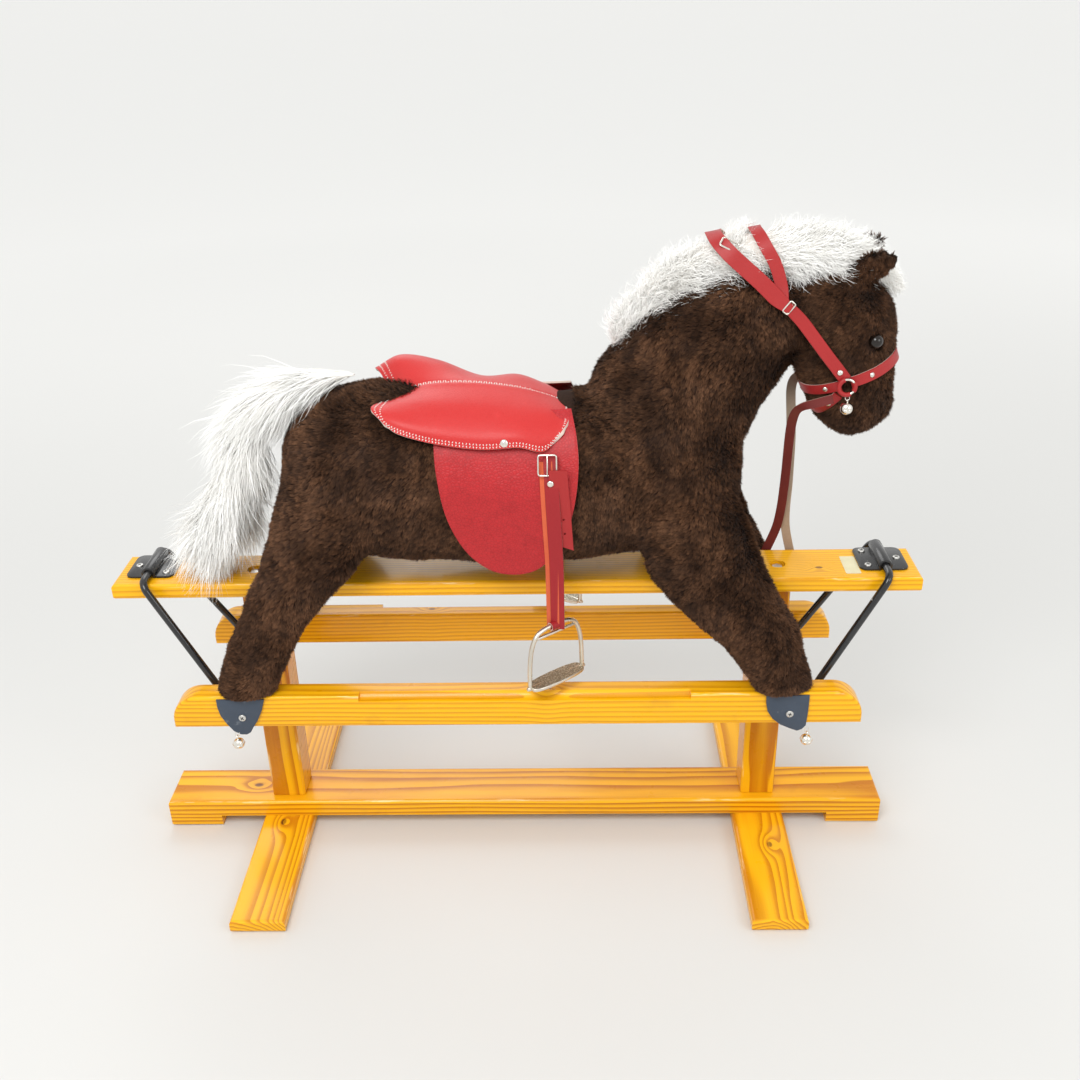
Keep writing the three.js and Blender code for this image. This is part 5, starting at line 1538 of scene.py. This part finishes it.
def cheek_width(share):
    """Full width along the cheek, gathered at the keeper, and full again over the poll."""
    near_keeper = min(abs(share - 0.27), abs(share - 0.73))
    return 0.0150 - 0.0065 * math.exp(-(near_keeper / 0.035) ** 2)


def neck_width(share):
    return 0.0085 + 0.0105 * min(1.0, min(share, 1 - share) / 0.14) ** 0.8


stall = bridle_strap("headstall_strap", cheek, outward(cheek, -1), cheek_width)
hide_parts("headstall")
over_neck = both_sides(neck_rows)
bridle_strap("neck_strap", over_neck, outward(over_neck, -1), neck_width)
for side in (-1, 1):
    way = Vector((0.1, side, 0.12)).normalized()
    dome(rivets, Vector((0.3965, side * 0.0570, 0.6985)), way, 0.0036, 0.0020)
rivet_piece = finish_piece("bridle_rivets", rivets, nickel, smooth=60)
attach(rivet_piece, "horse")


def wire_box(name, middle, across, along, wide, long, radius):
    """A closed rectangle of wire with rounded corners."""
    across, along = Vector(across).normalized() * wide / 2, Vector(along).normalized() * long / 2
    corners = [middle + across + along, middle - across + along, middle - across - along,
               middle + across - along]
    loop = [p for k in range(4) for p in bent(
        [(corners[k - 1] + corners[k]) / 2, corners[k], (corners[k] + corners[(k + 1) % 4]) / 2],
        radius * 2, 5)[:-1]]
    piece = tube(name, loop, radius, around=4, closed=True)
    piece.data.materials.append(nickel)
    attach(piece, "horse")
    return piece


for side, way in ((-1, "right"), (1, "left")):
    wire_box(f"{way}_keeper", Vector((0.3315, side * 0.0515, 0.7765)), (0.62, 0, 0.78),
             (-0.78, side * 0.1, 0.62), 0.0150, 0.0080, 0.0010)
wire_box("crest_buckle", Vector((0.262, -0.0275, 0.8450)), (0.35, 0.55, 0.45), (0.75, -0.1, -0.35),
         0.0120, 0.0200, 0.0012)

# ------------------------------------------------------------------ bit rings
# Nickel rings 22 mm across on each cheek, which all the straps are folded round.
for side, way in ((-1, "right"), (1, "left")):
    ring = [Vector((0.406 + 0.0095 * math.cos(a), side * 0.0585, 0.681 + 0.0095 * math.sin(a)))
            for a in np.linspace(0, 2 * math.pi, 44, endpoint=False)]
    piece = tube(f"{way}_cheek_ring", ring, 0.0016, around=4, closed=True)
    piece.data.materials.append(nickel)
    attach(piece, "horse")
    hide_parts(f"{way}_bit_ring")
    for part, (start, stop) in enumerate(((108, 300), (-32, 34))):
        arc = [Vector((0.406 + 0.0096 * math.cos(a), side * 0.0586, 0.681 + 0.0096 * math.sin(a)))
               for a in np.radians(np.linspace(start, stop, 30))]
        fold = tube(f"{way}_ring_fold_{part}", arc, 0.0029, around=4)
        fold.data.materials.append(bridle_red)
        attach(fold, "horse")

# ------------------------------------------------------------------ label
# A blank label of pale foil stuck to the beam's top beside the front bracket.
label, place, connect = new_finish("label_foil", Coat_Weight=0.2)
fade = place.noise(60, 3, 0.6)
connect("Base Color", fade.colour((0.62, 0.55, 0.30), (0.80, 0.74, 0.52)))
connect("Roughness", fade * 0.25 + 0.32)
foil = bmesh.new()
bmesh.ops.create_cube(foil, size=1, matrix=Matrix.Translation((0.4475, -0.006, beam_top + 0.0002))
                      @ Matrix.Diagonal((0.020, 0.048, 0.0003, 1)))
corners = [e for e in foil.edges if abs(e.verts[0].co.z - e.verts[1].co.z) > 1e-5]
bmesh.ops.bevel(foil, geom=corners, offset=0.002, segments=4, profile=0.5, affect="EDGES",
                material=-1)
piece = finish_piece("blank_label", foil, label)
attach(piece, "stand")

# ------------------------------------------------------------------ girth
# A crimson strap right round the belly, with its punched and pointed end hanging on the right.
girth_line, outs = [], []
for turn in np.radians(np.linspace(-4, 184, 80)):
    way = Vector((0, math.cos(turn), -math.sin(turn)))
    spot, _, _, _ = skin_tree.ray_cast(Vector((0.011, 0, 0.545)), way)
    girth_line.append(spot + way * 0.0062)
    outs.append(way)
shape = strap_mesh(girth_line, lambda i, point, run: outs[i], 0.032, 0.0022)
girth = finish_piece("girth_strap", shape, crimson, smooth=40)
girth.data.materials.append(strap_flesh)
girth.data.materials.append(edge_leather)
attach(girth, "horse")
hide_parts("girth")
billet = cutter([(x / 1000, z / 1000) for x, z in ((50, 600), (50, 512), (60, 500), (79, 493),
                                                  (76, 545), (72, 600))], -0.1105, -0.1088)
tab = finish_piece("billet_tab", billet, bridle_red)
holes = []
for x, z in ((0.0685, 0.516), (0.0672, 0.535)):
    hole = bmesh.new()
    bmesh.ops.create_cone(hole, cap_ends=True, segments=16, radius1=0.0014, radius2=0.0014,
                          depth=0.02, matrix=Matrix.Translation((x, -0.1096, z))
                          @ Matrix.Rotation(math.pi / 2, 4, "X"))
    holes.append(hole)
cut_from(tab, holes)
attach(tab, "horse")
